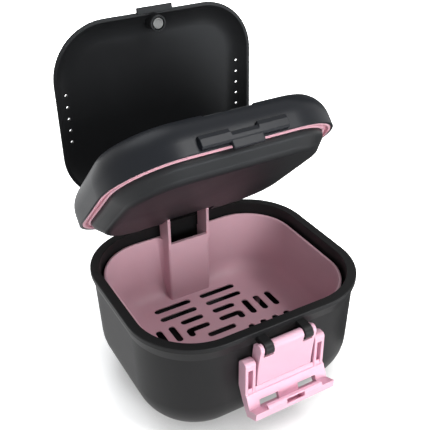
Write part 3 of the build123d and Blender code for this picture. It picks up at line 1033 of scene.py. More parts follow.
@dataclass(frozen=True)
class Tub:
    """Drafted bowl under a rim band, with the clasp's hooks in front and hinge knuckles behind."""

    rim_wall: float = 3.8
    band_bottom: float = 44.2
    band_overhang: float = 1.2
    band_edge: float = 0.6
    band_foot: float = 2.2
    band_round: float = 0.35
    cove: float = 1.6
    cove_drop: float = 1.9
    rim_inner_edge: float = 0.2
    draft: float = 1.4
    edge: float = 18.4
    floor: float = 2.4
    foot_ring: float = 1.1
    hook_x: Pair = (6.6, 10.1)
    hook_bore: float = 1.5
    hook_radius: float = 2.65
    hook_wrap: float = 50.0
    hook_steps: int = 40
    hook_edge: float = 0.22
    arm_back: float = -40.95
    knuckle_x: Pair = (8.9, 17.9)
    knuckle_edge: float = 0.35
    web_low: float = 44.8
    web_top: float = 47.6

    def section(self) -> list[Pair]:
        """Section of the bowl, from the middle of its underside round to the middle of its floor.

        Returns:
            The path of insets and levels.
        """
        slope = self.draft / self.band_bottom
        inner = self.rim_wall + (CASE.tub_height - self.floor) * slope
        middle = CASE.corner - self.foot_ring
        return rounded(
            [
                (middle, 0.0, 0.0),
                (self.band_overhang + self.draft, 0.0, self.edge),
                (self.band_overhang, self.band_bottom - self.cove_drop, self.cove),
                (0.0, self.band_bottom + self.band_foot, self.band_edge),
                (0.0, CASE.tub_height, self.band_round),
                (self.rim_wall, CASE.tub_height, self.rim_inner_edge),
                (inner, self.floor, self.edge - self.rim_wall + self.band_overhang),
                (middle, self.floor, 0.0),
            ]
        )

    def hook(self, side: int) -> Piece:
        """Hook that the clasp hangs on.

        Args:
            side: -1 for the left hook, 1 for the right one.

        Returns:
            The hook as a solid.
        """
        x = span(side, *self.hook_x)
        y, z = CASE.clasp_line
        root_back = CASE.front + self.rim_wall / 2
        root = [(root_back, self.band_bottom + self.band_edge), (root_back, z + self.hook_radius)]
        end = 3 * math.pi / 2 + math.radians(self.hook_wrap)
        circle = [
            (y + self.hook_radius * math.cos(a), z + self.hook_radius * math.sin(a))
            for a in np.linspace(math.pi / 2, end, self.hook_steps)
        ]
        arm = bar(f"hook_{side}", circle + root, x)
        gap = block("hook_gap", past(x), (y, self.arm_back), (z - 2 * self.hook_radius, z))
        bore = rod("hook_bore", CASE.clasp_line, self.hook_bore, past(x))
        return soften(combine(arm, [gap, bore], Join.CUT), self.hook_edge)

    def knuckle(self, side: int) -> Piece:
        """Hinge knuckle and the web that carries it.

        Args:
            side: -1 for the left knuckle, 1 for the right one.

        Returns:
            The knuckle as a solid.
        """
        x = span(side, *self.knuckle_x)
        y, z = CASE.hinge
        root = CASE.back - self.rim_wall / 2
        low = z - CASE.hinge_knuckle + SINK
        web = bar("web", [(root, self.web_low), (y, low), (y, self.web_top), (root, self.web_top)], x)
        barrel = rod(f"knuckle_{side}", CASE.hinge, CASE.hinge_knuckle, x, self.knuckle_edge)
        return bored(barrel, soften(web, CASE.web_edge), CASE.hinge, CASE.hinge_bore, x)

    def build(self) -> Piece:
        """Build and dress the tub.

        Returns:
            The tub in its place.
        """
        tub = shell("tub", CASE.outline, self.section())
        for side in SIDES:
            combine(tub, [self.hook(side), self.knuckle(side)], Join.ADD)
        return place(tub, Fitting(Body.BASE, Slot.BASE, ("base_shell",)), BASE_BLACK.material())


@dataclass(frozen=True)
class Basket:
    """Strainer basket: a bowl with a slotted floor, a handle column and two prongs."""

    inset: float = 5.1
    shift: float = 0.36
    rim: float = 43.7
    rim_edge: float = 0.45
    wall: float = 1.2
    draft: float = 1.5
    edge: float = 9.0
    floor: float = 13.6
    floor_wall: float = 1.3
    core: float = 0.6
    column_front: float = 28.1
    column_half: float = 9.9
    column_wall: float = 1.4
    column_corner: float = 1.2
    column_blend: float = 3.0
    channel_low: float = 14.9
    prong_back: float = 36.5
    prong_top: float = 56.6
    prong_round: float = 2.6
    prong_nose: float = 0.25
    prong_edge: float = 0.3
    slot_radius: float = 1.46
    slot_lip: float = 0.14
    slot_land: float = 0.45
    slot_undercut: float = 0.75
    slot_pitch: float = 5.95
    first_row: float = 24.6
    row_start: float = 2.5
    row_ends: tuple[float, ...] = (20.0, 20.0, 13.2, 13.2)
    first_column: float = 12.2
    columns: int = 4
    column_start: float = 2.7
    column_end: float = 13.1
    short_column_end: float = 7.75
    front_start: float = 2.5
    centre_row: float = 0.2
    centre_half: float = 6.7
    foot_radius: float = 1.4
    feet: Pair = (29.25, 18.4)
    foot_low: float = 2.4
    foot_sink: float = 0.8
    foot_edge: float = 0.4

    @property
    def outline(self) -> Outline:
        """Outline of the basket's rim."""
        width = CASE.width - 2 * self.inset
        return Outline(width, CASE.depth - 2 * self.inset, CASE.corner - self.inset, self.shift)

    @property
    def back(self) -> float:
        """Back of the basket's rim."""
        return CASE.back - self.inset + self.shift

    @property
    def middle(self) -> float:
        """Inset of the last ring of a section, close to the middle."""
        return self.outline.corner - self.core

    def outside(self) -> list[Corner]:
        """Corners of the bowl's outer side, from the middle of its underside to the rim.

        Returns:
            The corners, each with its radius.
        """
        slope = self.draft / (self.rim - self.floor)
        low = self.floor - self.floor_wall
        return [
            (self.middle, low, 0.0),
            (slope * (self.rim - low), low, self.edge + self.wall),
            (0.0, self.rim, 0.0),
        ]

    def section(self) -> list[Pair]:
        """Section of the bowl, from the middle of its underside to the middle of its floor."""
        start, heel, rim = self.outside()
        return rounded(
            [
                start,
                heel,
                (rim[0], rim[1], self.rim_edge),
                (self.wall, self.rim, self.rim_edge),
                (self.wall + self.draft, self.floor, self.edge),
                (self.middle, self.floor, 0.0),
            ]
        )

    def column(self) -> Piece:
        """Handle column, blended into the bowl's back wall.

        Returns:
            The column as a solid.
        """
        half = self.column_half
        blend = self.column_blend
        face = self.back - self.wall
        ends = half + blend + SINK
        right = [
            (half, self.column_front, self.column_corner),
            (half, face, blend),
            (ends, face, 0.0),
            (ends, self.back - self.rim_edge, 0.0),
        ]
        left = [(-x, y, radius) for x, y, radius in right[::-1]]
        plan = rounded([left[-1], *right, *left[:-1]], closed=True)
        low = self.floor - self.floor_wall / 2
        column = loft("column", [[(x, y, z) for x, y in plan] for z in (low, self.rim - SINK)])
        return trim(column, self.outline, rounded(self.outside()))

    def prong(self, side: int) -> Piece:
        """One of the two prongs that stand on the column.

        Args:
            side: -1 for the left prong, 1 for the right one.

        Returns:
            The prong as a solid.
        """
        x = span(side, self.column_half - self.column_wall + HAIR, self.column_half - HAIR)
        front = self.column_front + HAIR
        side_view = rounded(
            [
                (front, self.rim - self.prong_round, 0.0),
                (self.prong_back, self.rim - self.prong_round, 0.0),
                (self.prong_back, self.prong_top, self.prong_round),
                (front, self.prong_top, self.prong_nose),
            ],
            closed=True,
        )
        return soften(bar(f"prong_{side}", side_view, x), self.prong_edge)

    def slot(self, start: Pair, end: Pair) -> Piece:
        """Cutter of one drain slot, its mouth eased.

        Args:
            start: Plan point of the slot's first end centre.
            end: Plan point of its other end centre.

        Returns:
            The cutter.
        """
        low = self.floor - self.floor_wall
        heading = math.atan2(end[1] - start[1], end[0] - start[0])
        land = self.floor - self.slot_land
        stations = [(self.slot_undercut, low - CLEAR), (self.slot_undercut, low), (0.0, land)]
        stations += [(grown, self.floor - drop) for grown, drop in eased(self.slot_lip)]
        stations.append((self.slot_lip, self.floor + CLEAR))
        rings: list[list[Point]] = []
        for grown, level in stations:
            ring: list[Point] = []
            for centre, turn in ((end, -math.pi / 2), (start, math.pi / 2)):
                for step in range(END_STEPS + 1):
                    angle = heading + turn + math.pi * step / END_STEPS
                    x = centre[0] + (self.slot_radius + grown) * math.cos(angle)
                    ring.append((x, centre[1] + (self.slot_radius + grown) * math.sin(angle), level))
            rings.append(ring)
        return loft("slot", rings)

    def slots(self) -> list[Piece]:
        """Cutters of all the drain slots.

        Returns:
            The cutters, the centre slot's first.
        """
        reach = self.slot_radius
        half = self.centre_half - reach
        cutters = [self.slot((-half, self.centre_row), (half, self.centre_row))]
        for side in SIDES:
            for row, row_end in enumerate(self.row_ends):
                y = self.first_row - row * self.slot_pitch
                start = (side * (self.row_start + reach), y)
                cutters.append(self.slot(start, (side * (row_end - reach), y)))
            for column in range(self.columns):
                x = side * (self.first_column + column * self.slot_pitch)
                back = self.short_column_end if column == 0 else self.column_end
                cutters.append(self.slot((x, self.column_start + reach), (x, back - reach)))
                cutters.append(self.slot((x, reach - self.column_end), (x, -self.front_start - reach)))
        return cutters

    def build(self) -> Piece:
        """Build and dress the basket.

        Returns:
            The basket in its place.
        """
        basket = shell("basket", self.outline, self.section())
        combine(basket, [self.column()], Join.ADD)
        x = across(self.column_half - self.column_wall)
        y = (self.column_front + self.column_wall, CASE.back)
        channel = block("channel", x, y, (self.channel_low, CASE.tub_height))
        combine(basket, [channel], Join.CUT)
        combine(basket, [self.prong(side) for side in SIDES], Join.ADD)
        combine(basket, self.slots(), Join.CUT)
        ends = (self.foot_low, self.floor - self.foot_sink)
        for x_side in SIDES:
            for y_side in SIDES:
                centre = (x_side * self.feet[0], y_side * self.feet[1])
                foot = rod("foot", centre, self.foot_radius, ends, self.foot_edge, upright=True)
                combine(basket, [foot], Join.ADD)
        return place(basket, Fitting(Body.BASE, Slot.BASKET, ("strainer_basket",)), BASKET_PINK_WITH_PAINTED_SHADE.material())


@dataclass(frozen=True)
class Lid:
    """Domed ring with a land round its opening, a catch, a tongue and hinge knuckles."""

    skirt: float = 4.8
    crown: float = 11.03
    wall: float = 1.6
    lip: float = 1.1
    land: float = 1.5
    land_inset: float = 6.8
    edge: float = 0.27
    land_edge: float = 0.25
    crown_edge: float = 0.5
    notch_half: float = 10.5
    notch_depth: float = 1.0
    notch_back: float = -35.6
    notch_edge: float = 0.35
    block_half: float = 19.0
    block_front: float = 34.9
    block_low: float = 57.2
    block_drop: float = 0.5
    pin_play: float = 0.3
    recess_half: float = 12.0
    recess_radius: float = 1.9
    recess_drop: float = 0.5
    catch_half: float = 17.3
    catch_front: float = -43.85
    catch_root: float = -41.3
    catch_low: float = 49.07
    catch_top: float = 54.0
    catch_round: float = 0.3
    catch_edges: tuple[float, ...] = (0.2, 0.3, 0.4, 0.2, 0.1)
    catch_slant: float = 1.6
    catch_tuck: float = 0.7
    crease_width: float = 0.34
    crease_depth: float = 1.6
    step_half: float = 5.3
    step_run: float = 0.35
    step_top: float = 52.7
    tongue_half: float = 6.3
    tongue_y: Pair = (-43.6, -42.15)
    tongue_z: Pair = (46.44, 49.84)
    tongue_round: float = 0.5
    knuckle_half: float = 8.6
    knuckle_edge: float = 0.35
    web_rise: float = 52.74

    def dome(self, inset: float, top: float) -> list[Corner]:
        """Arc of the crown, from the skirt up to a level.

        Args:
            inset: How far the surface lies inside the outer one.
            top: Level at which the arc ends.

        Returns:
            The arc's points as corners.
        """
        centre = (self.crown, CASE.lid_base + self.skirt)
        radius = self.crown - inset
        end = math.degrees(math.asin((top - centre[1]) / radius))
        return arc(centre, radius, 180.0, 180.0 - end)

    def section(self) -> list[Pair]:
        """Closed section of the lid's ring.

        Returns:
            The closed path of insets and levels.
        """
        underside = CASE.lid_top - self.land
        outer = self.dome(0.0, CASE.lid_top)
        inner = self.dome(self.wall, underside)[::-1]
        corners = [
            (self.lip, CASE.lid_base, self.edge),
            (0.0, CASE.lid_base, self.edge),
            *outer[:-1],
            (*outer[-1][:2], self.crown_edge),
            (self.land_inset, CASE.lid_top, self.land_edge),
            (self.land_inset, underside, self.land_edge),
            *inner,
            (self.wall, CASE.flange_top, 0.0),
            (self.lip, CASE.flange_top, 0.0),
        ]
        return rounded(corners, closed=True)

    def hinge_block(self) -> Piece:
        """Thickened stretch under the land that holds the cover's hinge pin.

        Returns:
            The block as a solid.
        """
        y = (self.block_front, CASE.back)
        z = (self.block_low, CASE.lid_top - self.land)
        thick = block("hinge_block", across(self.block_half), y, z)
        base = [(CASE.middle, CASE.lid_base, 0.0), (0.0, CASE.lid_base, 0.0)]
        top = (CASE.middle, CASE.lid_top, 0.0)
        crown = self.dome(SINK, CASE.lid_top - self.block_drop)
        return trim(thick, CASE.outline, rounded([*base, *crown, top]))

    def cutters(self) -> list[Piece]:
        """Solids cut away: finger notch, boss pocket, hinge recess and its bore.

        Returns:
            The cutters.
        """
        y, z = CASE.cover_hinge
        reach = self.recess_radius
        recess = across(self.recess_half)
        pin_room = across(self.block_half + self.pin_play)
        above = CASE.lid_top + THROUGH
        notch_y = (CASE.front - THROUGH, self.notch_back)
        notch = block("notch", across(self.notch_half), notch_y, (CASE.lid_top - self.notch_depth, above))
        boss_z = (CASE.ledge_top, above)
        return [
            soften(notch, self.notch_edge),
            rod("boss_pocket", (0.0, CASE.boss_y), CASE.boss_room, boss_z, upright=True),
            rod("recess", CASE.cover_hinge, reach, recess),
            block("recess_top", recess, (y - reach, y + reach), (z, above)),
            block("recess_back", recess, (y, CASE.back + THROUGH), (z - self.recess_drop, above)),
            rod("pin_bore", CASE.cover_hinge, CASE.cover_bore, pin_room),
        ]

    def catch_view(self, top: float, inset: float) -> list[Pair]:
        """Side view of the catch, with a slanted brow and a crease behind its top.

        Args:
            top: Level of its top.
            inset: How far the view shrinks, toward the catch's ends.

        Returns:
            The closed path.
        """
        low = self.catch_low + inset
        front = self.catch_front + inset
        brow = top - inset
        crease = CASE.front - self.crease_width
        turns = [
            (front + self.catch_tuck, low),
            (front, low + self.catch_tuck),
            (front, brow - self.catch_slant),
            (front + self.catch_slant / 2, brow),
            (crease, brow),
        ]
        return rounded(
            [
                (self.catch_root, low, 0.0),
                *[(*turn, radius) for turn, radius in zip(turns, self.catch_edges)],
                (crease, top - self.crease_depth, 0.0),
                (self.catch_root, top - self.crease_depth, 0.0),
            ],
            closed=True,
        )

    def catch(self) -> Piece:
        """Catch with a lower middle between its two high ends.

        Returns:
            The catch as a solid.
        """
        quarter = eased(self.catch_round)
        stations = [(-self.catch_half + run, self.catch_top, inset) for run, inset in quarter]
        stations.append((-self.step_half - self.step_run, self.catch_top, 0.0))
        stations.append((-self.step_half, self.step_top, 0.0))
        stations += [(-x, top, inset) for x, top, inset in stations[::-1]]
        rings = [[(x, y, z) for y, z in self.catch_view(top, inset)] for x, top, inset in stations]
        return loft("catch", rings)

    def tongue(self) -> Piece:
        """Tongue that overlaps the tub's band."""
        tongue = block("tongue", across(self.tongue_half), self.tongue_y, self.tongue_z)
        return soften(tongue, self.tongue_round, 4)

    def knuckle(self) -> Piece:
        """Middle hinge knuckle and the web that carries it.

        Returns:
            The knuckle as a solid.
        """
        x = across(self.knuckle_half)
        y, z = CASE.hinge
        root = CASE.back - self.lip / 2
        barrel = rod("knuckle", CASE.hinge, CASE.hinge_knuckle, x, self.knuckle_edge)
        top = z + CASE.hinge_knuckle - SINK
        low = CASE.lid_base + HAIR
        web = bar("web", [(root, low), (y, low), (y, top), (root, self.web_rise)], x)
        return bored(barrel, soften(web, CASE.web_edge), CASE.hinge, CASE.hinge_bore, x)

    def build(self) -> Piece:
        """Build and dress the lid.

        Returns:
            The lid in its place.
        """
        lid = shell("lid", CASE.outline, self.section(), looped=True)
        combine(lid, [self.catch(), self.tongue(), self.knuckle(), self.hinge_block()], Join.ADD)
        combine(lid, self.cutters(), Join.CUT)
        fitting = Fitting(Body.LID, Slot.LID, ("lid_shell",), (CASE.lid_swing,))
        return place(lid, fitting, LID_BLACK.material())


@dataclass(frozen=True)
class Tray:
    """Well that hangs through the lid, with a chimney over the basket's prongs."""

    inset: float = 7.2
    bottom: float = 41.8
    top: float = 62.0
    wall: float = 1.5
    edge: float = 4.0
    rim_edge: float = 0.4
    collar_inset: float = 4.7
    collar_level: float = 46.74
    collar_edge: float = 3.0
    collar_foot: float = 0.5
    flange_inset: float = 1.15
    flange_edge: float = 0.15
    flange_root: float = 0.4
    notch_half: float = 11.5
    notch_front: float = 25.2
    notch_back: float = 37.1
    notch_roof: float = 57.7
    chimney_wall: float = 1.2
    chimney_rise: float = 0.4
    chimney_edge: float = 0.5
    ledge_half: float = 5.5
    ledge_y: Pair = (-37.2, -28.5)
    ledge_low: float = 55.1
    ledge_fit: float = 1.7
    ledge_edge: float = 0.4
    pocket_radius: float = 2.25
    pocket_low: float = 57.4

    def underside(self) -> list[Corner]:
        """Corners of the well's rounded lower edge, up to where it meets the collar's slope.

        Returns:
            The corners, from under the well outward.
        """
        lift = self.collar_level - self.bottom - self.edge
        reach = self.inset + self.edge - self.collar_inset
        both = lift + reach
        run = (both - math.sqrt(both**2 - 2 * (reach**2 + lift**2 - self.edge**2))) / 2
        centre = (self.inset + self.edge, self.bottom + self.edge)
        meet = (self.collar_inset + run, self.collar_level - run)
        end = math.degrees(math.atan2(meet[1] - centre[1], meet[0] - centre[0])) % 360
        return arc(centre, self.edge, 270.0, end)

    def section(self) -> list[Pair]:
        """Section of the tray, from the middle of its underside to the middle of its floor.

        Returns:
            The path of insets and levels.
        """
        floor = self.bottom + self.wall
        curve = self.underside()
        return rounded(
            [
                (CASE.middle, self.bottom, 0.0),
                *curve[:-1],
                (*curve[-1][:2], self.collar_foot),
                (self.collar_inset, self.collar_level, self.collar_edge),
                (self.collar_inset, CASE.flange_bottom, 0.0),
                (self.flange_inset, CASE.flange_bottom, self.flange_edge),
                (self.flange_inset, CASE.flange_top, self.flange_edge),
                (self.inset, CASE.flange_top, self.flange_root),
                (self.inset, self.top, self.rim_edge),
                (self.inset + self.wall, self.top, self.rim_edge),
                (self.inset + self.wall, floor, self.edge - self.wall),
                (CASE.middle, floor, 0.0),
            ]
        )

    def chimney(self) -> Piece:
        """Walls of the chimney over the prongs.

        Returns:
            The walls as one solid, not hollow yet.
        """
        x = across(self.notch_half + self.chimney_wall)
        y = (self.notch_front - self.chimney_wall, CASE.back - self.inset - SINK)
        z = (self.bottom + self.chimney_rise, self.notch_roof + self.chimney_wall)
        walls = soften(block("chimney", x, y, z), self.chimney_edge)
        outside = [(CASE.middle, self.bottom, 0.0), (self.inset, self.bottom, self.edge)]
        path = rounded([*outside, (self.inset, self.top, 0.0), (CASE.middle, self.top, 0.0)])
        return trim(walls, CASE.outline, path)

    def ledge(self) -> Piece:
        """Ledge that holds the catch magnet under the cover's boss.

        Returns:
            The ledge as a solid.
        """
        top = CASE.lid_top - LID.land
        ledge = block("ledge", across(self.ledge_half), self.ledge_y, (self.ledge_low, top))
        base = [(CASE.middle, CASE.lid_base, 0.0), (self.ledge_fit, CASE.lid_base, 0.0)]
        path = rounded([*base, *LID.dome(self.ledge_fit, top), (CASE.middle, top, 0.0)])
        return trim(soften(ledge, self.ledge_edge), CASE.outline, path)

    def cutters(self) -> list[Piece]:
        """Solids cut away: the prongs' notch and chimney, and the magnet's pocket.

        Returns:
            The notch and the shaft, then the two pockets.
        """
        x = across(self.notch_half)
        notch_y = (self.notch_front, CASE.back + THROUGH)
        shaft_y = (self.notch_front, self.notch_back)
        boss_z = (CASE.ledge_top, self.top + THROUGH)
        magnet_z = (self.pocket_low, CASE.ledge_top + LAP)
        centre = (0.0, CASE.boss_y)
        return [
            block("notch", x, notch_y, (self.bottom - THROUGH, CASE.flange_bottom)),
            block("shaft", x, shaft_y, (CASE.flange_bottom - LAP, self.notch_roof)),
            rod("boss_pocket", centre, CASE.boss_room, boss_z, upright=True),
            rod("magnet_pocket", centre, self.pocket_radius, magnet_z, upright=True),
        ]

    def build(self) -> Piece:
        """Build and dress the tray.

        Returns:
            The tray in its place.
        """
        tray = shell("tray", CASE.outline, self.section())
        combine(tray, [self.chimney()], Join.ADD)
        cutters = self.cutters()
        combine(tray, cutters[:2], Join.CUT)
        combine(tray, [self.ledge()], Join.ADD)
        combine(tray, cutters[2:], Join.CUT)
        fitting = Fitting(Body.LID, Slot.TRAY, ("retainer_tray",), (CASE.lid_swing,))
        return place(tray, fitting, TRAY_BLACK_WITH_PAINTED_FILL.material())


LID = Lid()


@dataclass(frozen=True)
class Gasket:
    """Soft ring under the tray's flange, with two lips that close on the tub's rim."""

    outer: float = 1.15
    inner: float = 4.65
    low: float = 48.5
    lip: float = 1.1
    web: float = 0.8
    tip: float = 0.4
    root: float = 0.3
    top_edge: float = 0.1

    def build(self) -> Piece:
        """Build and dress the gasket.

        Returns:
            The gasket in its place.
        """
        top = CASE.flange_bottom
        groove = top - self.web
        section = rounded(
            [
                (self.outer, self.low, self.tip),
                (self.outer, top, self.top_edge),
                (self.inner, top, self.top_edge),
                (self.inner, self.low, self.tip),
                (self.inner - self.lip, self.low, self.tip),
                (self.inner - self.lip, groove, self.root),
                (self.outer + self.lip, groove, self.root),
                (self.outer + self.lip, self.low, self.tip),
            ],
            closed=True,
        )
        gasket = shell("gasket", CASE.outline, section, looped=True)
        fitting = Fitting(Body.LID, Slot.GASKET, ("lid_gasket",), (CASE.lid_swing,))
        return place(gasket, fitting, GASKET_PINK.material())


@dataclass(frozen=True)
class Cover:
    """Crowned cover of the retainer tray, with its boss, vents, tab and hinge knuckle."""

    width: float = 86.8
    depth: float = 75.2
    corner: float = 22.4
    shift: float = 0.8
    base: float = 62.6
    edge: float = 0.6
    rise: float = 4.7
    crown: float = 13.5
    crown_edge: float = 0.2
    core: float = 1.0
    rim: float = 1.4
    hollow: float = 3.8
    hollow_crown: float = 12.0
    rim_edge: float = 0.3
    boss_radius: float = 3.3
    boss_end: float = 59.6
    boss_edge: float = 0.35
    boss_flare: float = 0.9
    boss_fillet: float = 0.6
    boss_root: float = 66.8
    boss_cover: float = 0.3
    boss_inset: float = 0.4
    pocket_radius: float = 2.6
    pocket_depth: float = 1.7
    tab_half: float = 7.5
    tab_y: Pair = (-38.7, -36.2)
    tab_z: Pair = (62.0, 63.3)
    tab_edge: float = 0.25
    vent_x: float = 38.4
    vent_pitch: float = 4.9
    vent_count: int = 5
    vent_radius: float = 0.7
    vent_reach: float = 9.0
    knuckle_radius: float = 1.6
    knuckle_half: float = 11.7
    knuckle_edge: float = 0.2
    web_half: float = 0.9

    @property
    def outline(self) -> Outline:
        """Outline of the cover."""
        return Outline(self.width, self.depth, self.corner, self.shift)

    @property
    def top(self) -> float:
        """Level of the crown's middle."""
        return self.base + self.edge + self.rise

    @property
    def middle(self) -> float:
        """Inset of the last ring of a section, close to the middle."""
        return self.corner - self.core

    def crown_arc(self, top: float) -> list[Corner]:
        """Arc of the crown, from its middle out to the cover's edge.

        Args:
            top: Level of its middle.

        Returns:
            The arc's points as corners.
        """
        centre = top - self.crown
        half = math.sqrt(self.crown**2 - (self.base + self.edge - centre) ** 2)
        start = 180.0 - math.degrees(math.acos(half / self.crown))
        return arc((half, centre), self.crown, 90.0, start)

    def section(self) -> list[Pair]:
        """Section of the cover, from the middle of its top round to the middle of its hollow.

        Returns:
            The path of insets and levels.
        """
        outer = self.crown_arc(self.top)
        centre = self.base + self.hollow - self.hollow_crown
        half = math.sqrt(self.hollow_crown**2 - (self.base - centre) ** 2)
        start = 180.0 - math.degrees(math.acos(half / self.hollow_crown))
        inner = arc((self.rim + half, centre), self.hollow_crown, start, 90.0)
        return rounded(
            [
                (self.middle, self.top, 0.0),
                *outer[:-1],
                (*outer[-1][:2], self.crown_edge),
                (0.0, self.base, self.rim_edge),
                (*inner[0][:2], self.rim_edge),
                *inner[1:],
                (self.middle, self.base + self.hollow, 0.0),
            ]
        )

    def boss(self) -> Piece:
        """Boss that holds the cover's magnet, its end ringed, its root flared and kept under the crown.

        Returns:
            The boss as a solid.
        """
        root = self.base + self.hollow
        flare = self.boss_radius + self.boss_flare
        section = rounded(
            [
                (self.boss_end, self.pocket_radius, 0.0),
                (self.boss_end, self.boss_radius, self.boss_edge),
                (root - LAP, self.boss_radius, self.boss_fillet),
                (root, flare, 0.0),
                (self.boss_root, flare, 0.0),
            ]
        )
        boss = turned("boss", (0.0, CASE.boss_y), section, upright=True)
        top = self.top - self.boss_cover
        low = self.boss_end - CLEAR
        foot = [(self.boss_inset, low, 0.0), (self.middle, low, 0.0)]
        path = rounded([(self.middle, top, 0.0), *self.crown_arc(top), *foot])
        return trim(boss, self.outline, path)

    def vents(self) -> list[Piece]:
        """Cutters of the vents, a row on each side.

        Returns:
            The cutters.
        """
        cutters = []
        ends = (self.base - CLEAR, self.base + self.vent_reach)
        for side in SIDES:
            for step in range(self.vent_count):
                y = self.shift + (step - (self.vent_count - 1) / 2) * self.vent_pitch
                cutters.append(rod("vent", (side * self.vent_x, y), self.vent_radius, ends, upright=True))
        return cutters

    def knuckle(self) -> Piece:
        """Hinge knuckle and the web that carries it.

        Returns:
            The knuckle as a solid.
        """
        x = across(self.knuckle_half)
        y, z = CASE.cover_hinge
        barrel = rod("barrel", CASE.cover_hinge, self.knuckle_radius, x, self.knuckle_edge)
        web = block("web", x, (y - self.web_half, y + self.web_half), (z, self.base + self.edge))
        return bored(barrel, web, CASE.cover_hinge, CASE.cover_bore, x)

    def build(self) -> Piece:
        """Build and dress the cover.

        Returns:
            The cover in its place.
        """
        cover = shell("cover", self.outline, self.section())
        combine(cover, [self.boss()], Join.ADD)
        ends = (self.boss_end - CLEAR, self.boss_end + self.pocket_depth)
        pocket = rod("pocket", (0.0, CASE.boss_y), self.pocket_radius, ends, upright=True)
        combine(cover, [pocket, *self.vents()], Join.CUT)
        tab = block("tab", across(self.tab_half), self.tab_y, self.tab_z)
        combine(cover, [soften(tab, self.tab_edge), self.knuckle()], Join.ADD)
        swings = (CASE.cover_swing, CASE.lid_swing)
        fitting = Fitting(Body.COVER, Slot.COVER, ("top_cover",), swings)
        return place(cover, fitting, COVER_BLACK_WITH_PAINTED_FILL.material())


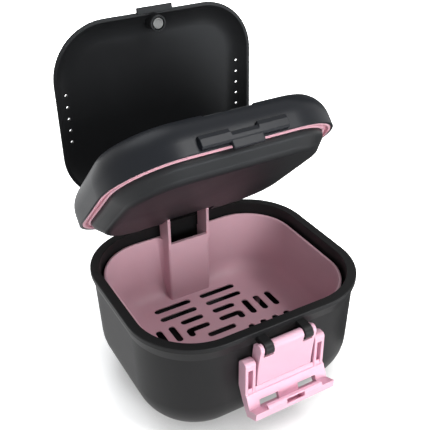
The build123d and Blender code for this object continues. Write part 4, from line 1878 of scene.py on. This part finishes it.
@dataclass(frozen=True)
class Clasp:
    """Clasp on the front hooks: a plate on a bar, two arms and a tilted lip with a crest."""

    swing_back: float = -184.5
    shut_crest: Pair = (-37.5, 63.74)
    bar_radius: float = 1.45
    bar_short: float = 0.5
    knuckle_radius: float = 2.0
    plate_half: float = 11.9
    plate_wall: float = 2.0
    plate_crease: float = 3.5
    plate_lean: float = 0.2
    plate_bow: float = 0.45
    ledge: tuple[Pair, ...] = ((1.7, 0.3), (2.0, -0.2))
    notch_x: Pair = (6.3, 10.4)
    notch_drop: float = 3.3
    hook_radius: float = 2.65
    cheek_rise: float = 0.4
    cheek_reach: float = 3.2
    cheek_gap: float = 0.55
    cheek_shoulder: float = 5.5
    cheek_foot: float = 1.4
    arm_x: Pair = (12.8, 17.1)
    arm_back: float = -40.95
    arm_thick: float = 4.95
    arm_top_drop: float = 4.7
    arm_round: float = 2.4
    arm_brow: float = 1.5
    arm_heel_drop: float = 0.3
    heel: Pair = (5.1, 0.6)
    toe: Pair = (1.8, -4.3)
    web_wall: float = 1.9
    foot: Pair = (3.0, -3.2)
    lip_top: Pair = (-1.5, -1.0)
    lip_slant: float = 0.3
    lip_wall: float = 3.5
    crest_half: float = 11.8
    crest_front: float = 0.75
    crest_back: float = 0.3
    crest_root: Pair = (1.4, -2.4)
    crest_slot_half: float = 3.9
    crest_slot: tuple[Pair, ...] = (
        (-2.5, -2.55),
        (-2.5, -0.2),
        (-0.5, -0.5),
        (0.9, -2.6),
        (2.0, -3.9),
        (1.6, -5.1),
        (-0.5, -4.1),
        (-1.0, -2.55),
    )
    window_x: Pair = (4.3, 12.4)
    window_rise: Pair = (-0.1, 2.6)
    core_half: float = 0.9
    core_low: float = 5.8
    core_drop: float = 8.1
    core_depth: float = 4.2
    edge: float = 0.3

    @property
    def crest(self) -> Pair:
        """Side-view point of the crest, hanging open."""
        return swung(self.shut_crest, CASE.clasp_line, self.swing_back)

    @property
    def crease(self) -> Pair:
        """Side-view point where the plate meets the web."""
        return (CASE.clasp_line[0] + self.plate_lean, self.crest[1] + self.plate_crease)

    @property
    def foot_point(self) -> Pair:
        """Side-view point where the web meets the lip."""
        return offset(self.crest, self.foot)

    @property
    def arm_front(self) -> float:
        """Front of the arms."""
        return self.arm_back - self.arm_thick

    def from_foot(self, up: float, back: float) -> Pair:
        """Side-view point measured from the web's foot.

        Args:
            up: Distance up along the web.
            back: Distance back through the web.

        Returns:
            The point.
        """
        foot = self.foot_point
        y = self.crease[0] - foot[0]
        z = self.crease[1] - foot[1]
        length = math.hypot(y, z)
        along = (y / length, z / length)
        return (foot[0] + up * along[0] + back * along[1], foot[1] + up * along[1] - back * along[0])

    @property
    def web_length(self) -> float:
        """Length of the web from its foot to the crease."""
        return math.dist(self.crease, self.foot_point)

    def bowed(self, back: Sequence[Pair]) -> list[Pair]:
        """Side view with the plate's bowed front.

        Args:
            back: Points that close it behind, from the crease up.

        Returns:
            The closed path.
        """
        top = (CASE.clasp_line[0] - self.knuckle_radius, CASE.clasp_line[1])
        front = []
        for step in range(BOW_STEPS + 1):
            share = step / BOW_STEPS
            bow = self.plate_bow * 4 * share * (1 - share)
            y = top[0] + share * (self.crease[0] - top[0]) + bow
            front.append((y, top[1] + share * (self.crease[1] - top[1])))
        return [*front, *back]

    def plate(self) -> Piece:
        """Plate with its bar, cheeks and the notches round the hooks.

        Returns:
            The plate as a solid.
        """
        half = self.plate_half
        line = CASE.clasp_line
        web_back = self.from_foot(self.web_length, self.web_wall)
        shin = offset(self.crease, (self.plate_wall, self.plate_crease / 2))
        plate = soften(bar("hook_clasp", self.bowed([web_back, shin, line]), across(half)), self.edge)
        knuckle = rod("knuckle", line, self.knuckle_radius - HAIR, across(half - HAIR), self.edge)
        combine(plate, [knuckle], Join.ADD)
        for side in SIDES:
            back = [
                web_back,
                offset(self.crease, (self.cheek_foot, self.cheek_foot / 2)),
                (self.arm_back - self.cheek_gap, line[1] - self.cheek_shoulder),
                offset(line, (self.cheek_reach, self.cheek_rise)),
                offset(line, (0.0, self.knuckle_radius)),
            ]
            cheek = bar("cheek", self.bowed(back), span(side, self.notch_x[1], half + HAIR))
            combine(plate, [soften(cheek, self.edge)], Join.ADD)
            reach = (line[0] - self.hook_radius, line[0] + self.hook_radius)
            height = (line[1] - self.notch_drop, line[1] + self.hook_radius)
            gap = block("gap", span(side, *self.notch_x), reach, height)
            combine(plate, [soften(gap, self.edge)], Join.CUT)
        return combine(plate, [rod("bar", line, self.bar_radius, across(half - self.bar_short))], Join.ADD)

    def web(self) -> Piece:
        """Sloping web with its windows, the lip and the crest.

        Returns:
            The web as a solid.
        """
        half = across(self.arm_x[1])
        foot = self.foot_point
        back_foot = self.from_foot(0.0, self.web_wall)
        back_top = self.from_foot(self.web_length, self.web_wall)
        ledge = [self.from_foot(self.web_length - down, out) for down, out in self.ledge]
        web = bar("web", [self.crease, *ledge, foot, back_foot, back_top], half)
        lip_top = offset(self.crest, self.lip_top)
        lip_low = offset(lip_top, (self.lip_slant, -self.lip_wall))
        lip = bar("lip", [foot, back_foot, offset(foot, self.toe), lip_low, lip_top], half)
        crest_view = [
            lip_top,
            offset(self.crest, (-self.crest_front, 0.0)),
            offset(self.crest, (self.crest_back, 0.0)),
            offset(self.crest, self.crest_root),
            lip_low,
        ]
        crest = bar("crest", crest_view, across(self.crest_half))
        combine(web, [lip, crest], Join.ADD)
        slot_view = [offset(self.crest, point) for point in self.crest_slot]
        slot = bar("crest_slot", slot_view, across(self.crest_slot_half))
        low, high = self.window_rise
        behind = self.web_wall + THROUGH
        window_ends = ((low, -THROUGH), (high, -THROUGH), (high, behind), (low, behind))
        window_view = [self.from_foot(up, back) for up, back in window_ends]
        windows = [bar("window", window_view, span(side, *self.window_x)) for side in SIDES]
        return combine(soften(web, self.edge), [slot, *windows], Join.CUT)

    def arm(self, side: int) -> Piece:
        """Arm with its core slot.

        Args:
            side: -1 for the left arm, 1 for the right one.

        Returns:
            The arm as a solid.
        """
        foot = self.foot_point
        top = CASE.clasp_line[1] - self.arm_top_drop
        slope = (foot[1] - self.crease[1]) / (foot[0] - self.crease[0])
        front_low = self.crease[1] + (self.arm_front - self.crease[0]) * slope
        side_view = rounded(
            [
                (self.arm_front, top, self.arm_brow),
                (self.arm_back, top, self.arm_round),
                (self.arm_back, self.crease[1] - self.arm_heel_drop, self.arm_round),
                (*offset(foot, self.heel), 0.0),
                (*offset(foot, self.toe), 0.0),
                (*foot, 0.0),
                (self.arm_front, front_low, 0.0),
            ],
            closed=True,
        )
        x = span(side, *self.arm_x)
        arm = bar(f"arm_{side}", side_view, x)
        low = self.crease[1] - self.core_low
        high = CASE.clasp_line[1] - self.core_drop
        front = self.arm_front - THROUGH
        back = self.arm_front + self.core_depth
        core_view = [(front, low), (front, high), (back, high), (back, low + self.core_depth)]
        middle = side * sum(self.arm_x) / 2
        core = bar("core", core_view, (middle - self.core_half, middle + self.core_half))
        return soften(combine(arm, [core], Join.CUT), self.edge)

    def build(self) -> Piece:
        """Build and dress the clasp.

        Returns:
            The clasp in its place.
        """
        clasp = self.plate()
        combine(clasp, [self.web(), self.arm(-1), self.arm(1)], Join.ADD)
        return place(clasp, Fitting(Body.CLASP, Slot.CLASP, ("clasp",)), CLASP_PINK.material())


@dataclass(frozen=True)
class Pins:
    """Steel pins of the lid's and the cover's hinges."""

    main_radius: float = 1.2
    main_half: float = 17.9
    cover_radius: float = 0.8
    cover_half: float = 19.0
    edge: float = 0.25

    def build(self) -> list[Piece]:
        """Build and dress both pins.

        Returns:
            The lid's pin and the cover's pin.
        """
        steel = PIN_STEEL.material()
        main = rod("main_pin", CASE.hinge, self.main_radius, across(self.main_half), self.edge)
        cover = rod("cover_pin", CASE.cover_hinge, self.cover_radius, across(self.cover_half), self.edge)
        cover_fitting = Fitting(Body.LID, Slot.PIN, ("cover_hinge_pin",), (CASE.lid_swing,))
        return [
            place(main, Fitting(Body.BASE, Slot.PIN, ("main_hinge_pin",)), steel),
            place(cover, cover_fitting, steel),
        ]


@dataclass(frozen=True)
class Magnets:
    """Plated disc magnets: one in the cover's boss and one in the tray's ledge."""

    radius: float = 2.2
    thick: float = 1.6
    edge: float = 0.2
    dish: float = 0.06
    dish_edge: float = 0.1
    dish_radii: Pair = (0.62, 0.72)
    hub: float = 0.3
    cover_low: float = 59.7
    catch_low: float = 57.4

    def disc(self, name: str, low: float) -> Piece:
        """Disc with rounded edges and slightly dished faces.

        Args:
            name: Name of the disc.
            low: Level of its lower face.

        Returns:
            The disc.
        """
        high = low + self.thick
        inner, outer = (self.radius * share for share in self.dish_radii)
        section = rounded(
            [
                (low + self.dish, self.hub, 0.0),
                (low + self.dish, inner, self.dish_edge),
                (low, outer, self.dish_edge),
                (low, self.radius, self.edge),
                (high, self.radius, self.edge),
                (high, outer, self.dish_edge),
                (high - self.dish, inner, self.dish_edge),
                (high - self.dish, self.hub, 0.0),
            ]
        )
        return turned(name, (0.0, CASE.boss_y), section, upright=True)

    def build(self) -> list[Piece]:
        """Build and dress both magnets.

        Returns:
            The cover's magnet and the tray's magnet.
        """
        plating = MAGNET_SILVER_PAINTED_DARK.material()
        swings = (CASE.cover_swing, CASE.lid_swing)
        on_cover = Fitting(Body.COVER, Slot.MAGNET, ("cover_magnet",), swings)
        on_tray = Fitting(Body.LID, Slot.MAGNET, ("catch_magnet",), swings[1:])
        return [
            place(self.disc("magnet_cover", self.cover_low), on_cover, plating),
            place(self.disc("magnet_tray", self.catch_low), on_tray, plating),
        ]


def aimed(item: Piece, spot: Point, aim: Point) -> Piece:
    """Put a lamp or a card in its place, turned toward a point.

    Args:
        item: The lamp or card.
        spot: Its place.
        aim: The point that it faces.

    Returns:
        The same lamp or card.
    """
    item.location = spot
    item.rotation_euler = (Vector(aim) - Vector(spot)).to_track_quat("-Z", "Y").to_euler()
    return item


def sheet(name: str, width: float, height: float) -> Piece:
    """Flat rectangle about the origin.

    Args:
        name: Name of the object.
        width: Its size along X.
        height: Its size along Y.

    Returns:
        The new object.
    """
    x, y = width / 2, height / 2
    mesh = bpy.data.meshes.new(name)
    mesh.from_pydata([(-x, -y, 0.0), (x, -y, 0.0), (x, y, 0.0), (-x, y, 0.0)], [], [(0, 1, 2, 3)])
    return linked(name, mesh)


@dataclass(frozen=True)
class Lamp:
    """Soft lamp aimed at a point, square where it has no height of its own."""

    name: str
    place: Point
    aim: Point
    size: float
    power: float
    colour: Colour = (1.0, 1.0, 1.0)
    lights: bool = True
    shines: bool = True
    height: float = 0.0

    def build(self) -> Piece:
        """Build the lamp, which either lights the pieces, shows in their gloss, or does both.

        Returns:
            The lamp.
        """
        light = bpy.data.lights.new(self.name, "AREA")
        light.shape = "RECTANGLE"
        light.size = self.size
        light.size_y = self.height or self.size
        light.energy = self.power
        light.color = self.colour
        lamp = aimed(linked(self.name, light), self.place, self.aim)
        lamp.visible_diffuse = self.lights
        lamp.visible_glossy = self.shines
        log.info("%s: %.1f W", self.name, self.power)
        return lamp


@dataclass(frozen=True)
class PaintedReflectionCard:
    """Dark card, upright or lying flat, that only the gloss of the pieces shows: a painted dark reflection,
    which keeps far edges deep.
    """

    name: str
    place: Point
    aim: Point
    width: float
    height: float
    tone: float = 0.12
    nap: float = 200.0
    nap_depth: float = 0.05

    def build(self) -> Piece:
        """Build the card.

        Returns:
            The card.
        """
        card = aimed(sheet(self.name, self.width, self.height), self.place, self.aim)
        # Seen only in reflections: it paints a dark reflection, and neither shades nor lights the pieces.
        card.visible_camera = False
        card.visible_diffuse = False
        card.visible_transmission = False
        card.visible_shadow = False
        material, board = blank("painted_dark_reflection_card")
        nap = GRAIN.use(board, Fineness=self.nap)
        bump = board.add("Bump", Strength=self.nap_depth, Distance=MILLIMETRE, Height=nap["Height"])
        board.show(board.add("BsdfDiffuse", Color=rgba((self.tone,) * 3), Normal=bump.outputs[0]))
        card.data.materials.append(material)
        return card


@dataclass(frozen=True)
class Studio:
    """Pale floor with a painted contact shadow, white surround, soft lamps, and dark cards that paint dark
    reflections.
    """

    floor_size: float = 6.0
    floor_grain: float = 120.0
    floor_depth: float = 0.02
    floor_colour: Colour = (0.80, 0.80, 0.80)
    floor_gain: float = 2.5
    floor_lift: float = 0.32
    plain_from: float = 0.26
    plain_fade: float = 0.20
    # Painted contact shadow on the floor: its tone, how far it reaches and how steeply it deepens.
    painted_shadow_tone: Colour = (0.08, 0.08, 0.08)
    painted_shadow_reach: float = 0.027
    painted_shadow_depth: float = 1.3
    ambient: float = 0.22
    lamps: tuple[Lamp, ...] = (
        Lamp("key", (0.27, -0.38, 0.66), (0.0, 0.0, 0.05), 0.26, 2.4),
        Lamp("front", (0.06, -0.80, 0.25), (0.0, 0.0, 0.04), 0.30, 5.0, shines=False),
        Lamp("left", (-0.60, -0.30, 0.34), (0.0, 0.0, 0.04), 0.50, 0.8, shines=False),
        Lamp("back", (-0.15, 0.50, 0.80), (0.0, 0.0, 0.05), 0.60, 2.1, (0.92, 0.96, 1.0)),
        Lamp("rear", (0.32, 0.70, 0.26), (0.0, 0.0, 0.05), 0.40, 3.2, shines=False),
        Lamp(
            "streak",
            (0.18, -0.42, 0.03),
            (0.0, 0.0, 0.10),
            0.5,
            0.9,
            (0.86, 0.94, 1.0),
            lights=False,
            height=0.05,
        ),
    )
    # Painted dark reflections: cards seen only in the gloss, behind the case and on the floor at its right.
    cards: tuple[PaintedReflectionCard, ...] = (
        PaintedReflectionCard("far_painted_reflection_card", (0.20, 0.38, 0.26), (0.0, 0.0, 0.26), 0.80, 0.50),
        PaintedReflectionCard("floor_painted_reflection_card", (0.222, 0.145, 0.002), (0.222, 0.145, -1.0), 0.34, 0.40),
    )

    def floor(self) -> Piece:
        """Floor that shows white and keeps the case's shadow, with a painted contact shadow: an AO node
        darkens its colour, as the camera sees it, where the case is near.

        Returns:
            The floor.
        """
        floor = sheet("floor", self.floor_size, self.floor_size)
        material, board = blank("pale_floor")
        grain = GRAIN.use(board, Fineness=self.floor_grain)
        bump = board.add("Bump", Strength=self.floor_depth, Distance=MILLIMETRE, Height=grain["Height"])
        seen = self.seen(board)
        straight = board.add("LightPath").outputs["Is Camera Ray"]
        # Painted contact shadow: where the AO node finds the case near, the colour that the camera sees
        # darkens toward the shadow tone.
        painted_shadow_nearness = board.add("AmbientOcclusion", Distance=self.painted_shadow_reach).outputs["AO"]
        painted_shadow_openness = board.sum("POWER", painted_shadow_nearness, self.painted_shadow_depth)
        shown_with_painted_shadow = board.blend(painted_shadow_openness, rgba(self.painted_shadow_tone), rgba(self.floor_colour, self.floor_gain))
        colour = board.blend(straight, rgba(self.floor_colour), shown_with_painted_shadow)
        matt = board.add("BsdfDiffuse", Color=colour, Normal=bump.outputs[0])
        lift = board.spread(self.away(board), self.floor_lift, 1.0)
        glow = board.add("Emission", Strength=board.sum("MULTIPLY", seen, lift))
        both = board.add("AddShader")
        board.feed(both.inputs[0], matt.outputs[0])
        board.feed(both.inputs[1], glow.outputs[0])
        board.show(both)
        floor.data.materials.append(material)
        return floor

    def away(self, board: NodeBoard) -> Socket:
        """Share that rises from 0 by the case to 1 on the plain floor far from it.

        Args:
            board: The floor's board.

        Returns:
            The share's socket.
        """
        distance = board.add("VectorMath")
        distance.operation = "LENGTH"
        board.feed(distance.inputs[0], board.add("NewGeometry").outputs["Position"])
        beyond = board.sum("SUBTRACT", distance.outputs["Value"], self.plain_from)
        return board.sum("DIVIDE", beyond, self.plain_fade, clamp=True)

    def seen(self, board: NodeBoard) -> Socket:
        """Share that is 1 where the camera, a reflection or a clear piece looks, and 0 for plain light.

        Args:
            board: The board of the floor or the world.

        Returns:
            The share's socket.
        """
        rays = board.add("LightPath")
        gloss = board.sum("MAXIMUM", rays.outputs["Is Camera Ray"], rays.outputs["Is Glossy Ray"])
        return board.sum("MAXIMUM", gloss, rays.outputs["Is Transmission Ray"])

    def surround(self) -> None:
        """White world, dimmer as plain light than as it is seen."""
        world = bpy.data.worlds.new("studio")
        bpy.context.scene.world = world
        world.use_nodes = True
        board = NodeBoard(world.node_tree)
        strength = board.spread(self.seen(board), self.ambient, 1.0)
        board.show(board.add("Background", Color=(1.0, 1.0, 1.0, 1.0), Strength=strength), "World")

    def build(self) -> None:
        """Build the floor, the surround and the lamps."""
        self.floor()
        self.surround()
        for helper in (*self.lamps, *self.cards):
            helper.build()


@dataclass(frozen=True)
class Viewpoint:
    """Camera looking down on the open case from its front left."""

    place: Point = (-0.116126, -0.202074, 0.215513)
    turn: float = -29.264
    rise: float = 31.818
    roll: float = -0.773
    lens: float = 60.19
    sensor: float = 36.0
    nearest: float = 0.01

    def build(self) -> Piece:
        """Build the camera and look through it.

        Returns:
            The camera.
        """
        camera = bpy.data.cameras.new("camera")
        camera.lens = self.lens
        camera.sensor_width = self.sensor
        camera.clip_start = self.nearest
        viewer = linked("camera", camera)
        a, e, r = (math.radians(angle) for angle in (self.turn, self.rise, self.roll))
        back = Vector((math.sin(a) * math.cos(e), -math.cos(a) * math.cos(e), math.sin(e)))
        right = Vector((math.cos(a), math.sin(a), 0.0))
        up = back.cross(right)
        tilted_right = math.cos(r) * right + math.sin(r) * up
        tilted_up = math.cos(r) * up - math.sin(r) * right
        matrix = Matrix((tilted_right, tilted_up, back)).transposed().to_4x4()
        matrix.translation = Vector(self.place)
        viewer.matrix_world = matrix
        bpy.context.scene.camera = viewer
        return viewer


def main() -> None:
    """Build the stage and every piece of the case."""
    logging.basicConfig(level=logging.INFO, format="%(message)s")
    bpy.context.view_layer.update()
    bpy.context.scene.view_settings.view_transform = "Standard"
    Viewpoint().build()
    Studio().build()
    for assembly in (Tub(), Basket(), LID, Tray(), Gasket(), Cover(), Clasp(), Pins(), Magnets()):
        assembly.build()
    bpy.context.view_layer.update()
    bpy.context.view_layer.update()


if __name__ == "__main__":
    main()
